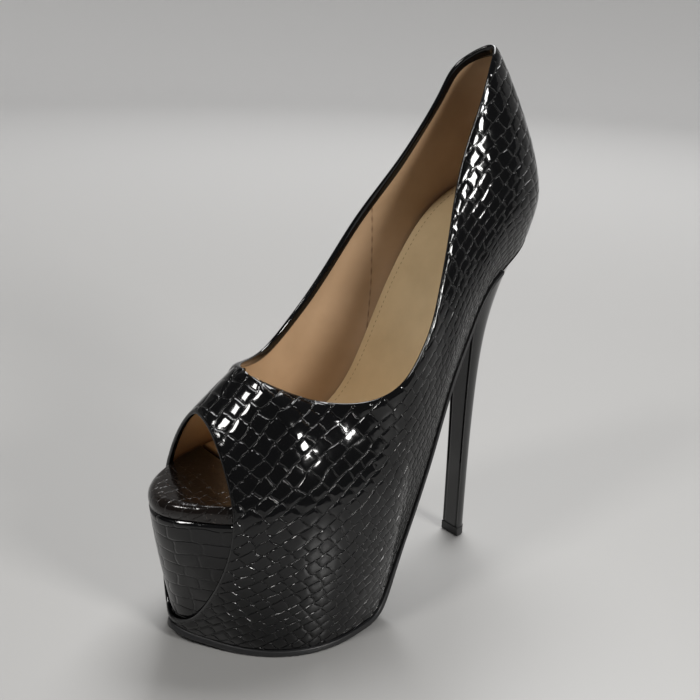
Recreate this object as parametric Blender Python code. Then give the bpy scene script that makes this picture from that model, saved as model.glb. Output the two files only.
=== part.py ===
"""Peep toe platform pump, left shoe: hollow upper, platform, insole, sock, outsole, stiletto heel, top lift.

Frame: metres, +Z up, toe towards -Y, the wearer's outer (lateral) side towards +X.
The origin lies on the floor under the centre of the shoe.
"""
import bpy
import bmesh
import numpy as np

# Driving dimensions of the last and the shoe, metres
SHOE_LENGTH = 0.2112
BALL_WIDTH = 0.0860
SEAT_HEIGHT = 0.1720
COUNTER_HEIGHT = 0.0850
PLATFORM_HEIGHT = 0.0670
SEAT_FILL = 0.0240
TOE_SPRING = 0.0044

# Thickness of each layer
WALL = 0.0018
OUTSOLE_THICKNESS = 0.0032
OUTSOLE_WAIST = 0.0018
TOE_ROLL = 0.0078
INSOLE_THICKNESS = 0.0030
SOCK_THICKNESS = 0.0024
PLATFORM_LEAST = 0.0012
TOP_LIFT = 0.0050

# Heel
TIP_WIDTH = 0.0114
TIP_DEPTH = 0.0070
BREAST_AT = 0.1770
HEEL_FLARE = 0.0460

# Peep opening and the toe wrap behind it
PEEP_STRIP = 0.0020
PEEP_FULL_HEIGHT = 0.0800
PEEP_POINT = 1.2
TOE_WRAP_END = 0.0470
WRAP_STEP = 0.0010

# Clearances and edges
FIT = 0.0003
CORE_INSET = 0.0027
SOCK_MARGIN = 0.0003
OUTSOLE_FLANGE = 0.0006
HEEL_INSET = 0.0006
SEAT_GAP = 0.0004
SQUARE_OFF = 0.0120
EDGE_ROUND = 0.0009
ROLL_ROUND = 1.6
ROLL_PROUD = 0.0003
LIFT_PROUD = 0.0003

# Sampling of the surfaces
BREAST_POINTS = 3
BACK_POINTS = 19
CUT_COLUMNS = 18
RIDGE_COLUMNS = 5
COLLAR_COLUMNS = 30
WALL_ROWS = 12
CLOSER_AT_BACK = 0.45
MERGE = 0.000002
NUDGE = 0.0002
TIGHT = 0.0030
SPACING = 0.0055
LAYER_SAMPLES = 400
SLOPE_REACH = 0.0030
LIFT = 0.002

FOREPART = OUTSOLE_THICKNESS + FIT

# The upper's bottom edge, from the centre of the toe to the centre of the back.
# along: share of SHOE_LENGTH; spring: share of TOE_SPRING; rise: share of the climb to the seat;
# lateral, medial: shares of BALL_WIDTH
SOLE_LINE = (
    # along, spring, rise, lateral, medial
    (0.0606, 1.00, 0.000, -0.063, -0.063),
    (0.0739, 0.74, 0.000, 0.052, -0.151),
    (0.0999, 0.46, 0.000, 0.151, -0.248),
    (0.1378, 0.18, 0.000, 0.273, -0.341),
    (0.1970, 0.00, 0.000, 0.407, -0.428),
    (0.2633, 0.00, 0.000, 0.490, -0.473),
    (0.3343, 0.00, 0.000, 0.516, -0.472),
    (0.4053, 0.00, 0.001, 0.497, -0.430),
    (0.4640, 0.00, 0.014, 0.458, -0.373),
    (0.5000, 0.00, 0.083, 0.435, -0.342),
    (0.5303, 0.00, 0.190, 0.440, -0.328),
    (0.5981, 0.00, 0.428, 0.441, -0.288),
    (0.6577, 0.00, 0.605, 0.407, -0.248),
    (0.7244, 0.00, 0.742, 0.363, -0.240),
    (0.8016, 0.00, 0.871, 0.326, -0.262),
    (0.8930, 0.00, 0.942, 0.291, -0.250),
    (0.9593, 0.00, 0.985, 0.192, -0.140),
    (0.9877, 0.00, 1.000, 0.029, 0.029),
)

# The line half way up the wall. height: share of COUNTER_HEIGHT over the foot's own climb
GIRTH_LINE = (
    # along, height, lateral, medial
    (0.0085, -0.001, -0.023, -0.023),
    (0.0208, -0.001, 0.087, -0.137),
    (0.0540, -0.001, 0.192, -0.244),
    (0.1212, -0.001, 0.337, -0.360),
    (0.1970, -0.001, 0.436, -0.438),
    (0.2680, -0.001, 0.500, -0.478),
    (0.3438, 0.011, 0.526, -0.486),
    (0.4148, 0.058, 0.520, -0.470),
    (0.4810, 0.123, 0.502, -0.442),
    (0.5150, 0.121, 0.491, -0.419),
    (0.5470, 0.094, 0.483, -0.401),
    (0.6150, 0.084, 0.453, -0.366),
    (0.6760, 0.135, 0.413, -0.342),
    (0.7400, 0.223, 0.365, -0.308),
    (0.8290, 0.306, 0.340, -0.291),
    (0.9261, 0.300, 0.293, -0.232),
    (0.9830, 0.247, 0.187, -0.104),
    (1.0000, 0.228, 0.035, 0.035),
)

# The centre line of the vamp, shared by both sides: along, height, across
RIDGE = (
    (0.0170, 0.293, -0.070),
    (0.0380, 0.353, -0.071),
    (0.0740, 0.406, -0.072),
    (0.1326, 0.475, -0.073),
    (0.1800, 0.565, -0.058),
    (0.2324, 0.673, -0.037),
)

# The topline behind the throat: along, height, across, on each side
TOPLINE_LATERAL = (
    (0.2599, 0.628, 0.102),
    (0.3343, 0.540, 0.238),
    (0.4124, 0.503, 0.390),
    (0.4834, 0.478, 0.465),
    (0.5473, 0.507, 0.470),
    (0.6184, 0.501, 0.401),
    (0.6667, 0.548, 0.314),
    (0.7083, 0.621, 0.238),
    (0.7533, 0.696, 0.190),
    (0.7936, 0.812, 0.172),
    (0.8325, 0.934, 0.132),
)
TOPLINE_MEDIAL = (
    (0.2722, 0.646, -0.174),
    (0.3329, 0.597, -0.313),
    (0.4020, 0.593, -0.410),
    (0.4669, 0.624, -0.437),
    (0.5175, 0.627, -0.431),
    (0.5999, 0.611, -0.405),
    (0.6477, 0.590, -0.353),
    (0.6918, 0.637, -0.258),
    (0.7367, 0.708, -0.174),
    (0.7817, 0.830, -0.137),
    (0.8205, 0.931, -0.092),
)
TOPLINE_BACK = (0.8670, 1.000, 0.030)

# How far each section turns level where it meets the top edge, from the toe to the back
CROWN = (1, 1, 1, 1, 1, 1, 0.5, 0.28, 0.12, 0.04, 0, 0, 0, 0, 0, 0, 0, 0)

# Where the foot rests: share of the climb from the toe roll's top to the fill over the seat
BED = (0, 0, 0, 0, 0, 0, 0.000, 0.003, 0.010, 0.022, 0.045, 0.202, 0.442, 0.677, 0.854, 0.949, 0.984, 1)

# Heel rings below the seat, from the top lift up. height: share of the breast's top;
# front: share of the breast's lean; depth, width: shares of the seat's own; tilt: share of its slope
HEEL_RINGS = (
    # height, front, depth, width, tilt
    (0.000, 1.00, 0.000, 0.000, 0.00),
    (0.300, 0.95, 0.020, 0.010, 0.00),
    (0.500, 0.90, 0.060, 0.045, 0.00),
    (0.660, 0.84, 0.130, 0.110, 0.08),
    (0.780, 0.76, 0.270, 0.200, 0.25),
    (0.870, 0.62, 0.480, 0.340, 0.48),
    (0.945, 0.36, 0.740, 0.600, 0.75),
)
BREAST_LEAN = 0.0039
HEEL_SQUARE = 0.86

# How round the wall is below and above its girth line, and the vamp on its two sides
FULLNESS = (0.25, 1.05)
VAMP_ROUND = (1.32, 1.05)
SHOULDER = 0.4

# A rounded edge: shares of the layer's thickness, and how far each is set in
ROUND_SHARES = np.array([0, 0.16, 0.5, 0.84, 1])
ROUND_INSETS = EDGE_ROUND * np.array([1, 0.3, 0, 0.3, 1])

# Rows between which the toe roll goes in under the upper
ROLL_FADES = (2.1, 2.6)

# Rows between which the insole goes from the toe roll's thickness to its own
INSOLE_THINS = (8, 12)
APEX_ROW = 3
THROAT_ROW = 5
SIDES = (1, -1)


# Splines through the rows of the tables

def spline(knots, rows, closed=False):
    """A cubic spline through the rows; a closed one comes back to its first row at the last knot."""
    knots = np.asarray(knots, float)
    rows = np.asarray(rows, float)
    count = len(knots)
    step = np.diff(knots)
    slope = np.diff(rows, axis=0) / step[:, None]
    system = np.zeros((count, count))
    right = np.zeros_like(rows)
    for i in range(1, count - 1):
        system[i, i - 1:i + 2] = step[i - 1], 2 * (step[i - 1] + step[i]), step[i]
        right[i] = 6 * (slope[i] - slope[i - 1])
    if closed:
        system[0, 0], system[0, -1] = 1, -1
        system[-1, 0], system[-1, 1] = 2 * step[0], step[0]
        system[-1, -1], system[-1, -2] = 2 * step[-1], step[-1]
        right[-1] = 6 * (slope[0] - slope[-1])
    else:
        system[0, 0] = system[-1, -1] = 1
    bend = np.linalg.solve(system, right)

    def at(where):
        where = np.asarray(where, float)
        if closed:
            where = knots[0] + np.mod(where - knots[0], knots[-1] - knots[0])
        i = np.clip(np.searchsorted(knots, where, side="right") - 1, 0, count - 2)
        h = step[i][..., None]
        b = ((where - knots[i]) / step[i])[..., None]
        a = 1 - b
        curve = ((a ** 3 - a) * bend[i] + (b ** 3 - b) * bend[i + 1]) * h * h / 6
        return a * rows[i] + b * rows[i + 1] + curve

    return at


def unit(vector):
    return vector / np.maximum(np.linalg.norm(vector, axis=-1, keepdims=True), 1e-12)


def shares_to_point(row, along, height, across):
    """A point over the foot's climb, which goes from the platform to the seat with the sole line."""
    rise = SOLE_LINE[row][2]
    climb = PLATFORM_HEIGHT + rise * (SEAT_HEIGHT - PLATFORM_HEIGHT)
    return (across * BALL_WIDTH, along * SHOE_LENGTH, climb + height * COUNTER_HEIGHT)


def sole_point(row, side):
    along, spring, rise, lateral, medial = row
    height = FOREPART + spring * TOE_SPRING + rise * (SEAT_HEIGHT - FOREPART)
    return ((lateral if side > 0 else medial) * BALL_WIDTH, along * SHOE_LENGTH, height)


def girth_point(row, side):
    along, height, lateral, medial = GIRTH_LINE[row]
    return shares_to_point(row, along, height, lateral if side > 0 else medial)


class Last:
    """The outer surface of the upper as a function of the way round the shoe and the way up its wall."""

    def __init__(self):
        sole = {side: np.array([sole_point(row, side) for row in SOLE_LINE]) for side in SIDES}
        girth = {side: np.array([girth_point(row, side) for row in range(len(GIRTH_LINE))]) for side in SIDES}
        chord = [np.linalg.norm(np.diff(line, axis=0), axis=1)
                 for line in (sole[1], sole[-1], girth[1], girth[-1])]
        self.knots = np.concatenate([[0], np.cumsum(np.mean(chord, axis=0))])
        self.end = self.knots[-1]
        self.apex = self.knots[APEX_ROW]
        self.throat = self.knots[THROAT_ROW]
        loop = np.concatenate([self.knots, 2 * self.end - self.knots[-2::-1]])
        self.sole_loop = spline(loop, np.concatenate([sole[1], sole[-1][-2::-1]]), closed=True)
        self.girth_loop = spline(loop, np.concatenate([girth[1], girth[-1][-2::-1]]), closed=True)
        ridge = [shares_to_point(row, *place) for row, place in enumerate(RIDGE)]
        lateral = [shares_to_point(row, *place) for row, place in enumerate(TOPLINE_LATERAL, THROAT_ROW + 1)]
        medial = [shares_to_point(row, *place) for row, place in enumerate(TOPLINE_MEDIAL, THROAT_ROW + 1)]
        back = shares_to_point(len(SOLE_LINE) - 1, *TOPLINE_BACK)
        self.ridge = spline(self.knots[:THROAT_ROW + 1], ridge)
        collar = [ridge[-1], *lateral, back, *medial[::-1], ridge[-1]]
        behind = self.knots[THROAT_ROW:]
        self.collar = spline(np.concatenate([behind, 2 * self.end - behind[-2::-1]]),
                             collar, closed=True)

    def sole(self, around):
        point = self.sole_loop(around)
        point[..., 2] = np.maximum(point[..., 2], FOREPART)
        return point

    def top(self, around):
        short = self.from_toe(around)
        ridge = self.ridge(np.minimum(short, self.throat))
        collar = self.collar(np.clip(around, self.throat, 2 * self.end - self.throat))
        return np.where((short <= self.throat)[..., None], ridge, collar)

    def from_toe(self, around):
        around = np.mod(around, 2 * self.end)
        return np.minimum(around, 2 * self.end - around)

    def surface(self, around, up):
        """Points at a way round (0 toe, end back, 2 end toe again) and a way up (0 sole, 1 top edge)."""
        around = np.mod(np.asarray(around, float), 2 * self.end)
        up = np.asarray(up, float)
        around, up = np.broadcast_arrays(around, up)
        sole, girth, top = self.sole(around), self.girth_loop(around), self.top(around)
        side = np.where(around <= self.end, 1.0, -1.0)
        crown = np.interp(self.from_toe(around), self.knots, CROWN)[..., None]
        lower, upper = girth - sole, top - girth
        middle = unit((1 + crown) * unit(lower) + (1 - SHOULDER * crown) * unit(upper))
        level = np.stack([-side, np.zeros_like(side), np.zeros_like(side)], -1)
        start = unit(lower) + FULLNESS[0] * (unit(lower) - middle)
        finish = unit(crown * level + (1 - crown) * (unit(upper) + FULLNESS[1] * (unit(upper) - middle)))
        length = np.linalg.norm(upper, axis=-1, keepdims=True)
        arc = np.where(side > 0, *VAMP_ROUND)[..., None]
        start_pull = (1 - crown) * length + crown * arc * np.abs(upper[..., 2:3])
        end_pull = (1 - crown) * length + crown * arc * np.abs(upper[..., 0:1])
        rise = np.linalg.norm(lower, axis=-1, keepdims=True)
        first = hermite(sole, girth, start * rise, middle * rise, up * 2)
        second = hermite(girth, top, middle * start_pull, finish * end_pull, up * 2 - 1)
        return np.where((up <= 0.5)[..., None], first, second)

    def normal(self, around, up):
        around, up = np.broadcast_arrays(np.asarray(around, float), np.asarray(up, float))
        high, low = np.minimum(up + LIFT, 1), np.maximum(up - LIFT, 0)
        along = self.surface(around + NUDGE, up) - self.surface(around - NUDGE, up)
        upward = self.surface(around, high) - self.surface(around, low)
        return unit(np.cross(along, upward))

    def up_at(self, around, height):
        """The way up the wall at which the surface reaches a height."""
        around, height = np.broadcast_arrays(np.asarray(around, float), np.asarray(height, float))
        low, high = np.zeros(around.shape), np.ones(around.shape)
        for _ in range(36):
            middle = (low + high) / 2
            below = self.surface(around, middle)[..., 2] < height
            low, high = np.where(below, middle, low), np.where(below, high, middle)
        return (low + high) / 2

    def inside(self, around, height, inset):
        """Points of the surface at a height, moved in from it by an inset."""
        up = self.up_at(around, height)
        point = self.surface(around, up) - self.normal(around, up) * np.asarray(inset)[..., None]
        point[..., 2] = height
        return point

    def at_row(self, row):
        return np.interp(row, np.arange(len(self.knots)), self.knots)

    def at_length(self, along):
        """The way round at which the sole line reaches a distance from the toe."""
        samples = np.linspace(0, self.end, 800)
        return np.interp(along, self.sole(samples)[:, 1], samples)


def hermite(start, end, start_pull, end_pull, way):
    t = way[..., None]
    return ((2 * t ** 3 - 3 * t ** 2 + 1) * start + (t ** 3 - 2 * t ** 2 + t) * start_pull
            + (3 * t ** 2 - 2 * t ** 3) * end + (t ** 3 - t ** 2) * end_pull)


LAST = Last()
BED_CURVE = spline(LAST.knots, np.array(BED)[:, None])


# Lines along the shoe that several pieces share

def sole_direction(around):
    """Unit vector square to the sole line in side view, pointing out of the shoe."""
    ahead = LAST.sole(np.minimum(around + NUDGE, LAST.end))
    behind = LAST.sole(np.maximum(around - NUDGE, 0))
    run = unit((ahead - behind)[..., 1:])
    return np.stack([np.zeros_like(run[..., 0]), run[..., 1], -run[..., 0]], -1)


def bed_height(around):
    """Height of the surface that the foot rests on, by the way round."""
    low = PLATFORM_HEIGHT + FIT + TOE_ROLL
    return low + np.maximum(BED_CURVE(around)[..., 0], 0) * (SEAT_HEIGHT + SEAT_FILL - low)


class Layers:
    """Heights of the flat layers by distance from the toe, so that all of them nest."""

    def __init__(self):
        around = np.linspace(0, LAST.end, LAYER_SAMPLES)
        self.bed_height = bed_height(around)
        inner = LAST.inside(around, self.bed_height, np.full(around.shape, WALL))
        self.bed_along = np.maximum.accumulate(inner[:, 1])
        sole = LAST.sole(around)
        self.sole_along, self.sole_height = sole[:, 1], sole[:, 2]
        self.steady = [LAST.sole(LAST.at_row(row))[1] for row in INSOLE_THINS]

    def bed(self, along):
        return np.interp(along, self.bed_along, self.bed_height)

    def sole(self, along):
        return np.interp(along, self.sole_along, self.sole_height)

    def stretch(self, along):
        """How much longer a plumb line through the bed is than a square one."""
        run = 2 * SLOPE_REACH
        slope = (self.bed(along + SLOPE_REACH) - self.bed(along - SLOPE_REACH)) / run
        return np.sqrt(1 + slope ** 2)

    def insole_top(self, along):
        wrap = np.interp(along, (TOE_WRAP_END, TOE_WRAP_END + WRAP_STEP), (1, 0))
        return self.bed(along) - (1 - wrap) * (SOCK_THICKNESS + FIT) * self.stretch(along)

    def insole_under(self, along):
        stretch = self.stretch(along)
        behind = INSOLE_THICKNESS + SOCK_THICKNESS + FIT
        whole = np.interp(along, self.steady, (TOE_ROLL, behind))
        least = self.sole(along) + (PLATFORM_LEAST + FIT) * stretch
        return np.maximum(self.bed(along) - whole * stretch, least)

    def platform_top(self, along):
        return self.insole_under(along) - FIT * self.stretch(along)

    def sock_under(self, along):
        return self.insole_top(along) + FIT * self.stretch(along)


LAYERS = Layers()


# Meshes from rings of points

def new_object(name, verts, faces, colour, roughness, coat=0.0):
    mesh = bpy.data.meshes.new(name)
    mesh.from_pydata([tuple(v) for v in np.asarray(verts)], [], faces)
    piece = bpy.data.objects.new(name, mesh)
    bpy.context.scene.collection.objects.link(piece)
    work = bmesh.new()
    work.from_mesh(mesh)
    bmesh.ops.remove_doubles(work, verts=work.verts, dist=MERGE)
    bmesh.ops.dissolve_degenerate(work, edges=work.edges, dist=MERGE)
    bmesh.ops.recalc_face_normals(work, faces=work.faces)
    work.to_mesh(mesh)
    work.free()
    mesh.shade_smooth()
    mesh.set_sharp_from_angle(angle=0.6)
    material = bpy.data.materials.new(name)
    material.use_nodes = True
    shader = material.node_tree.nodes["Principled BSDF"]
    shader.inputs["Base Color"].default_value = (*colour, 1)
    shader.inputs["Roughness"].default_value = roughness
    shader.inputs["Coat Weight"].default_value = coat
    mesh.materials.append(material)
    return piece


def strip_faces(rings, closed_rings):
    """Quads between rings of points that follow one another."""
    count = rings.shape[1]
    faces = []
    for i in range(len(rings) - 1):
        for j in range(count if closed_rings else count - 1):
            k = (j + 1) % count
            faces.append((i * count + j, i * count + k, (i + 1) * count + k, (i + 1) * count + j))
    return faces


def tube(rings, cap_first, cap_last):
    """A solid from closed rings, with an end face where asked."""
    rings = np.asarray(rings)
    faces = strip_faces(rings, True)
    count = rings.shape[1]
    if cap_first:
        faces.append(tuple(range(count)))
    if cap_last:
        last = (len(rings) - 1) * count
        faces.append(tuple(range(last, last + count)))
    return rings.reshape(-1, 3), faces


def spread(start, end, spacing):
    """Places between two ways round, about one spacing apart."""
    return np.linspace(start, end, max(int(round((end - start) / spacing)), 2) + 1)


def girdle(stations, under, top, shares, insets, outline=None):
    """A ring at each station, up the lateral side and down the medial side, between two surfaces.

    The surfaces are heights by distance from the toe. The wall's outline is taken at the ring's
    own levels, or at another height where one is given.
    """
    shares = np.asarray(shares)
    foot = LAST.sole(stations)[:, 1]
    levels = under(foot)[:, None] + (top(foot) - under(foot))[:, None] * shares
    halves = []
    for side in SIDES:
        place = (stations if side > 0 else 2 * LAST.end - stations)[:, None]
        for _ in range(3):
            half = LAST.inside(place, levels if outline is None else outline(levels), insets)
            along = half[..., 1]
            levels = under(along) + (top(along) - under(along)) * shares
            half[..., 2] = levels
        halves.append(half)
    meet = np.isin(stations, (0, LAST.end))
    halves[1][meet] = halves[0][meet]
    return np.concatenate([halves[0], halves[1][:, ::-1]], axis=1)


def layer_stations():
    """Stations of the platform and the insole, from the toe to the back."""
    return np.concatenate([
        spread(0, LAST.at_row(3), TIGHT),
        spread(LAST.at_row(3), LAST.at_length(TOE_WRAP_END), SPACING)[1:],
        [LAST.at_length(TOE_WRAP_END + WRAP_STEP)],
        bed_stations(),
    ])


def bed_stations():
    """Stations behind the toe wrap, where the sock lies on the insole."""
    return spread(LAST.at_length(TOE_WRAP_END + WRAP_STEP + FIT), LAST.end, SPACING)


# The pieces

BLACK = (0.012, 0.012, 0.013)
TAN = (0.46, 0.30, 0.17)


def upper_edge():
    """The upper's top edge on one side, as ways round and up: peep cut, vamp centre, collar."""
    turn = np.linspace(0, np.pi / 2, CUT_COLUMNS // 2 + 4)
    tip = LAST.up_at(0.0, LAST.sole(0.0)[2] + PEEP_STRIP)
    full = LAST.up_at(LAST.apex, PEEP_FULL_HEIGHT)
    cut = np.stack([LAST.apex * np.sin(turn) ** PEEP_POINT, tip + (full - tip) * (1 - np.cos(turn))], 1)
    rest = np.linspace(full, 1, CUT_COLUMNS // 2 - 2)[1:]
    side = np.stack([np.full(rest.shape, LAST.apex), rest], 1)
    ridge = np.linspace(LAST.apex, LAST.throat, RIDGE_COLUMNS + 1)[1:]
    way = np.linspace(0, 1, COLLAR_COLUMNS + 1)[1:]
    collar = LAST.throat + (LAST.end - LAST.throat) * (way + CLOSER_AT_BACK * way * (1 - way))
    level = np.concatenate([ridge, collar])
    return np.concatenate([cut, side, np.stack([level, np.ones(level.shape)], 1)])


def upper():
    """The shell is one grid on each side, joined at toe strip, vamp centre and back, then given its wall."""
    edge = upper_edge()
    columns = len(edge)
    cut_end, ridge_end = CUT_COLUMNS + 1, CUT_COLUMNS + 1 + RIDGE_COLUMNS
    behind_cut, behind_ridge = LAST.at_row(4.4), LAST.at_row(5.4)
    back_way = np.linspace(0, 1, columns - ridge_end + 1)[1:]
    foot = np.concatenate([
        np.linspace(0, behind_cut, cut_end),
        np.linspace(behind_cut, behind_ridge, ridge_end - cut_end + 1)[1:],
        behind_ridge + (LAST.end - behind_ridge) * (back_way + CLOSER_AT_BACK * back_way * (1 - back_way)),
    ])
    way = np.linspace(0, 1, WALL_ROWS + 1)
    around = foot[:, None] + (edge[:, :1] - foot[:, None]) * way
    up = edge[:, 1:] * way
    verts, faces = [], []
    for side in SIDES:
        place = around if side > 0 else 2 * LAST.end - around
        grid = LAST.surface(place, up)
        first = len(verts)
        verts.extend(grid.reshape(-1, 3))
        faces.extend(tuple(first + k for k in face) for face in strip_faces(grid, False))
    shell = new_object("upper", verts, faces, BLACK, 0.25, 1.0)
    work = bmesh.new()
    work.from_mesh(shell.data)
    outward = sum(f.normal.x * f.calc_center_median().x for f in work.faces)
    if outward < 0:
        bmesh.ops.reverse_faces(work, faces=work.faces)
    work.to_mesh(shell.data)
    work.free()
    wall = shell.modifiers.new("wall", "SOLIDIFY")
    wall.thickness = WALL
    wall.offset = -1
    wall.use_even_offset = True
    return shell


def platform():
    stations = layer_stations()
    shares = np.linspace(0, 1, 6)
    rings = girdle(stations, LAYERS.sole, LAYERS.platform_top, shares, CORE_INSET + 0 * shares)
    verts, faces = tube(rings, False, False)
    return new_object("platform", verts, faces, BLACK, 0.3, 0.8)


def insole():
    """The toe roll stands proud of the platform's front; further back the board lies within the wall."""
    stations = layer_stations()
    showing = np.interp(stations, (LAST.at_row(ROLL_FADES[0]), LAST.at_row(ROLL_FADES[1])), (1, 0))[:, None]
    insets = CORE_INSET - ROLL_PROUD * showing + ROUND_INSETS * (1 + ROLL_ROUND * showing)

    def outline(levels):
        return levels * (1 - showing) + PLATFORM_HEIGHT * showing

    rings = girdle(stations, LAYERS.insole_under, LAYERS.insole_top, ROUND_SHARES, insets, outline)
    verts, faces = tube(rings, False, False)
    return new_object("insole", verts, faces, (0.02, 0.014, 0.012), 0.35, 0.6)


def sock():
    insets = CORE_INSET + SOCK_MARGIN + ROUND_INSETS
    rings = girdle(bed_stations(), LAYERS.sock_under, LAYERS.bed, ROUND_SHARES, insets)
    verts, faces = tube(rings, True, False)
    return new_object("sock", verts, faces, TAN, 0.4, 0.3)


def outsole():
    """A thin sheet under the sole line, ending square to the floor at the heel breast."""
    end = LAST.at_length(BREAST_AT - FIT)
    stations = np.concatenate([spread(0, LAST.at_row(3), TIGHT), spread(LAST.at_row(3), end, SPACING)[1:]])
    normal = sole_direction(stations)
    square = np.clip((end - stations) / SQUARE_OFF, 0, 1)[:, None]
    plumb = np.array([0.0, 0.0, -1.0]) / np.abs(normal[:, 2:]).clip(0.3)
    down = square * normal + (1 - square) * plumb
    thick = np.interp(stations, (LAST.at_row(8), LAST.at_row(10)), (OUTSOLE_THICKNESS, OUTSOLE_WAIST))
    share = np.array([0, 0.25, 0.75, 1])
    flange = np.interp(stations, (LAST.at_row(1), LAST.at_row(4)), (-OUTSOLE_FLANGE, OUTSOLE_FLANGE))
    rounding = EDGE_ROUND * np.array([0.3, 0, 0, 0.7])
    rings = []
    for i, around in enumerate(stations):
        ring = []
        for side in SIDES:
            place = around if side > 0 else 2 * LAST.end - around
            out = LAST.normal(place, 0.02)
            out = unit(out - normal[i] * np.dot(out, normal[i]))
            foot = LAST.sole(place)
            half = [foot + down[i] * (FIT + thick[i] * d) + out * (flange[i] - r) for d, r in zip(share, rounding)]
            ring.extend(half if side > 0 else half[::-1])
        rings.append(ring)
    verts, faces = tube(rings, False, True)
    return new_object("outsole", verts, faces, (0.015, 0.015, 0.016), 0.4)


def heel_outline(front, back, half, middle):
    """A closed outline: a flat breast at the front, and a round back."""
    turn = np.linspace(0, np.pi, BACK_POINTS)
    across = np.sign(np.cos(turn)) * np.abs(np.cos(turn)) ** HEEL_SQUARE
    deep = np.sin(turn) ** HEEL_SQUARE
    round_part = np.stack([middle + half * across, front + (back - front) * deep], 1)
    breast = np.linspace(-1, 1, BREAST_POINTS + 2)[1:-1]
    flat = np.stack([middle + half * breast, np.full(breast.shape, front)], 1)
    return np.concatenate([round_part, flat])


def seat_ring():
    """The heel's top edge, under the upper's own edge."""
    start = LAST.at_length(BREAST_AT)
    around = np.linspace(start, 2 * LAST.end - start, BACK_POINTS)
    foot = LAST.sole(around)
    centre = foot.mean(axis=0)
    pull = unit((centre - foot) * [1, 1, 0])
    rim = foot + pull * HEEL_INSET
    rim[:, 2] -= SEAT_GAP
    flat = np.linspace(rim[-1], rim[0], BREAST_POINTS + 2)[1:-1]
    return np.concatenate([rim, flat])


def heel():
    top = seat_ring()
    front, back = top[:, 1].min(), top[:, 1].max()
    seat_middle = 0.5 * (top[:, 0].max() + top[:, 0].min())
    slope = (top[:, 2].max() - top[:, 2].min()) / (back - front)
    breast_top = top[:, 2].min()
    foot = TOP_LIFT + FIT
    rings = []
    for height, lean, depth, width, tilt in HEEL_RINGS:
        ring_front = front + lean * BREAST_LEAN
        deep = TIP_DEPTH + depth * (back - front - TIP_DEPTH)
        half = (TIP_WIDTH + width * (HEEL_FLARE - TIP_WIDTH)) / 2
        outline = heel_outline(ring_front, ring_front + deep, half, seat_middle * width)
        level = foot + height * (breast_top - foot)
        z = level + tilt * slope * (outline[:, 1] - ring_front)
        rings.append(np.column_stack([outline, z]))
    rings.append(top)
    verts, faces = tube(rings, True, True)
    return new_object("heel", verts, faces, (0.016, 0.016, 0.018), 0.22, 0.8)


def heel_tip():
    top = seat_ring()
    front = top[:, 1].min() + BREAST_LEAN - LIFT_PROUD
    outline = heel_outline(front, front + TIP_DEPTH + 2 * LIFT_PROUD, TIP_WIDTH / 2 + LIFT_PROUD, 0.0)
    rings = [np.column_stack([outline, np.full(len(outline), z)]) for z in (0.0, TOP_LIFT)]
    verts, faces = tube(rings, True, True)
    return new_object("heel_tip", verts, faces, (0.01, 0.01, 0.01), 0.5)


def centre(pieces):
    """Moves the shoe so that the middle of its box stands over the origin."""
    corners = np.array([v.co for piece in pieces for v in piece.data.vertices])
    middle = (corners.min(axis=0) + corners.max(axis=0)) / 2
    for piece in pieces:
        for vertex in piece.data.vertices:
            vertex.co.x -= middle[0]
            vertex.co.y -= middle[1]


def main():
    for thing in list(bpy.data.objects):
        bpy.data.objects.remove(thing, do_unlink=True)
    centre([build() for build in (outsole, platform, insole, sock, upper, heel, heel_tip)])


main()
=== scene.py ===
"""Looks for the peep toe platform pump: embossed patent upper, tan lining, wrapped platform and heel."""

import bmesh
import bpy
import numpy as np
from mathutils import Matrix, Vector


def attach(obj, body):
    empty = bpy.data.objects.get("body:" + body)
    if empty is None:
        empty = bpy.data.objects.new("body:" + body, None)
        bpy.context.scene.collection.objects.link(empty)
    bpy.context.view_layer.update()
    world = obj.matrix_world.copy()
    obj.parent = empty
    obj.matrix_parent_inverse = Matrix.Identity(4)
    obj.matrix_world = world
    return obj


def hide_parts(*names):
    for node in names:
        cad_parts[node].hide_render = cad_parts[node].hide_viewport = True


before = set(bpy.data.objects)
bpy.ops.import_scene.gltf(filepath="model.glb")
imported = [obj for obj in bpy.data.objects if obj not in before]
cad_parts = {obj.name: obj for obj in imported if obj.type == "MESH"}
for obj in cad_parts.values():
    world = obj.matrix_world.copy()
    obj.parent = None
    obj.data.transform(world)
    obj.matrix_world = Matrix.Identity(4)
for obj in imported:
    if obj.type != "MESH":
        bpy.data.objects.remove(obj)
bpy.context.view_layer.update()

# Driving dimensions of the last and the shoe, metres
SHOE_LENGTH = 0.2112
BALL_WIDTH = 0.0860
SEAT_HEIGHT = 0.1720
COUNTER_HEIGHT = 0.0850
PLATFORM_HEIGHT = 0.0670
SEAT_FILL = 0.0240
TOE_SPRING = 0.0044

# Thickness of each layer
WALL = 0.0018
OUTSOLE_THICKNESS = 0.0032
OUTSOLE_WAIST = 0.0018
TOE_ROLL = 0.0078
INSOLE_THICKNESS = 0.0030
SOCK_THICKNESS = 0.0024
PLATFORM_LEAST = 0.0012
TOP_LIFT = 0.0050

# Heel
TIP_WIDTH = 0.0114
TIP_DEPTH = 0.0070
BREAST_AT = 0.1770
HEEL_FLARE = 0.0460

# Peep opening and the toe wrap behind it
PEEP_STRIP = 0.0020
PEEP_FULL_HEIGHT = 0.0800
PEEP_POINT = 1.2
TOE_WRAP_END = 0.0470
WRAP_STEP = 0.0010

# Clearances and edges
FIT = 0.0003
CORE_INSET = 0.0027
SOCK_MARGIN = 0.0003
OUTSOLE_FLANGE = 0.0006
SEAT_GAP = 0.0004
SQUARE_OFF = 0.0120
EDGE_ROUND = 0.0009
ROLL_ROUND = 1.6
ROLL_PROUD = 0.0003
LIFT_PROUD = 0.0003

LAYER_SAMPLES = 400
NUDGE = 0.0002
SLOPE_REACH = 0.0030
LIFT = 0.002

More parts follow.
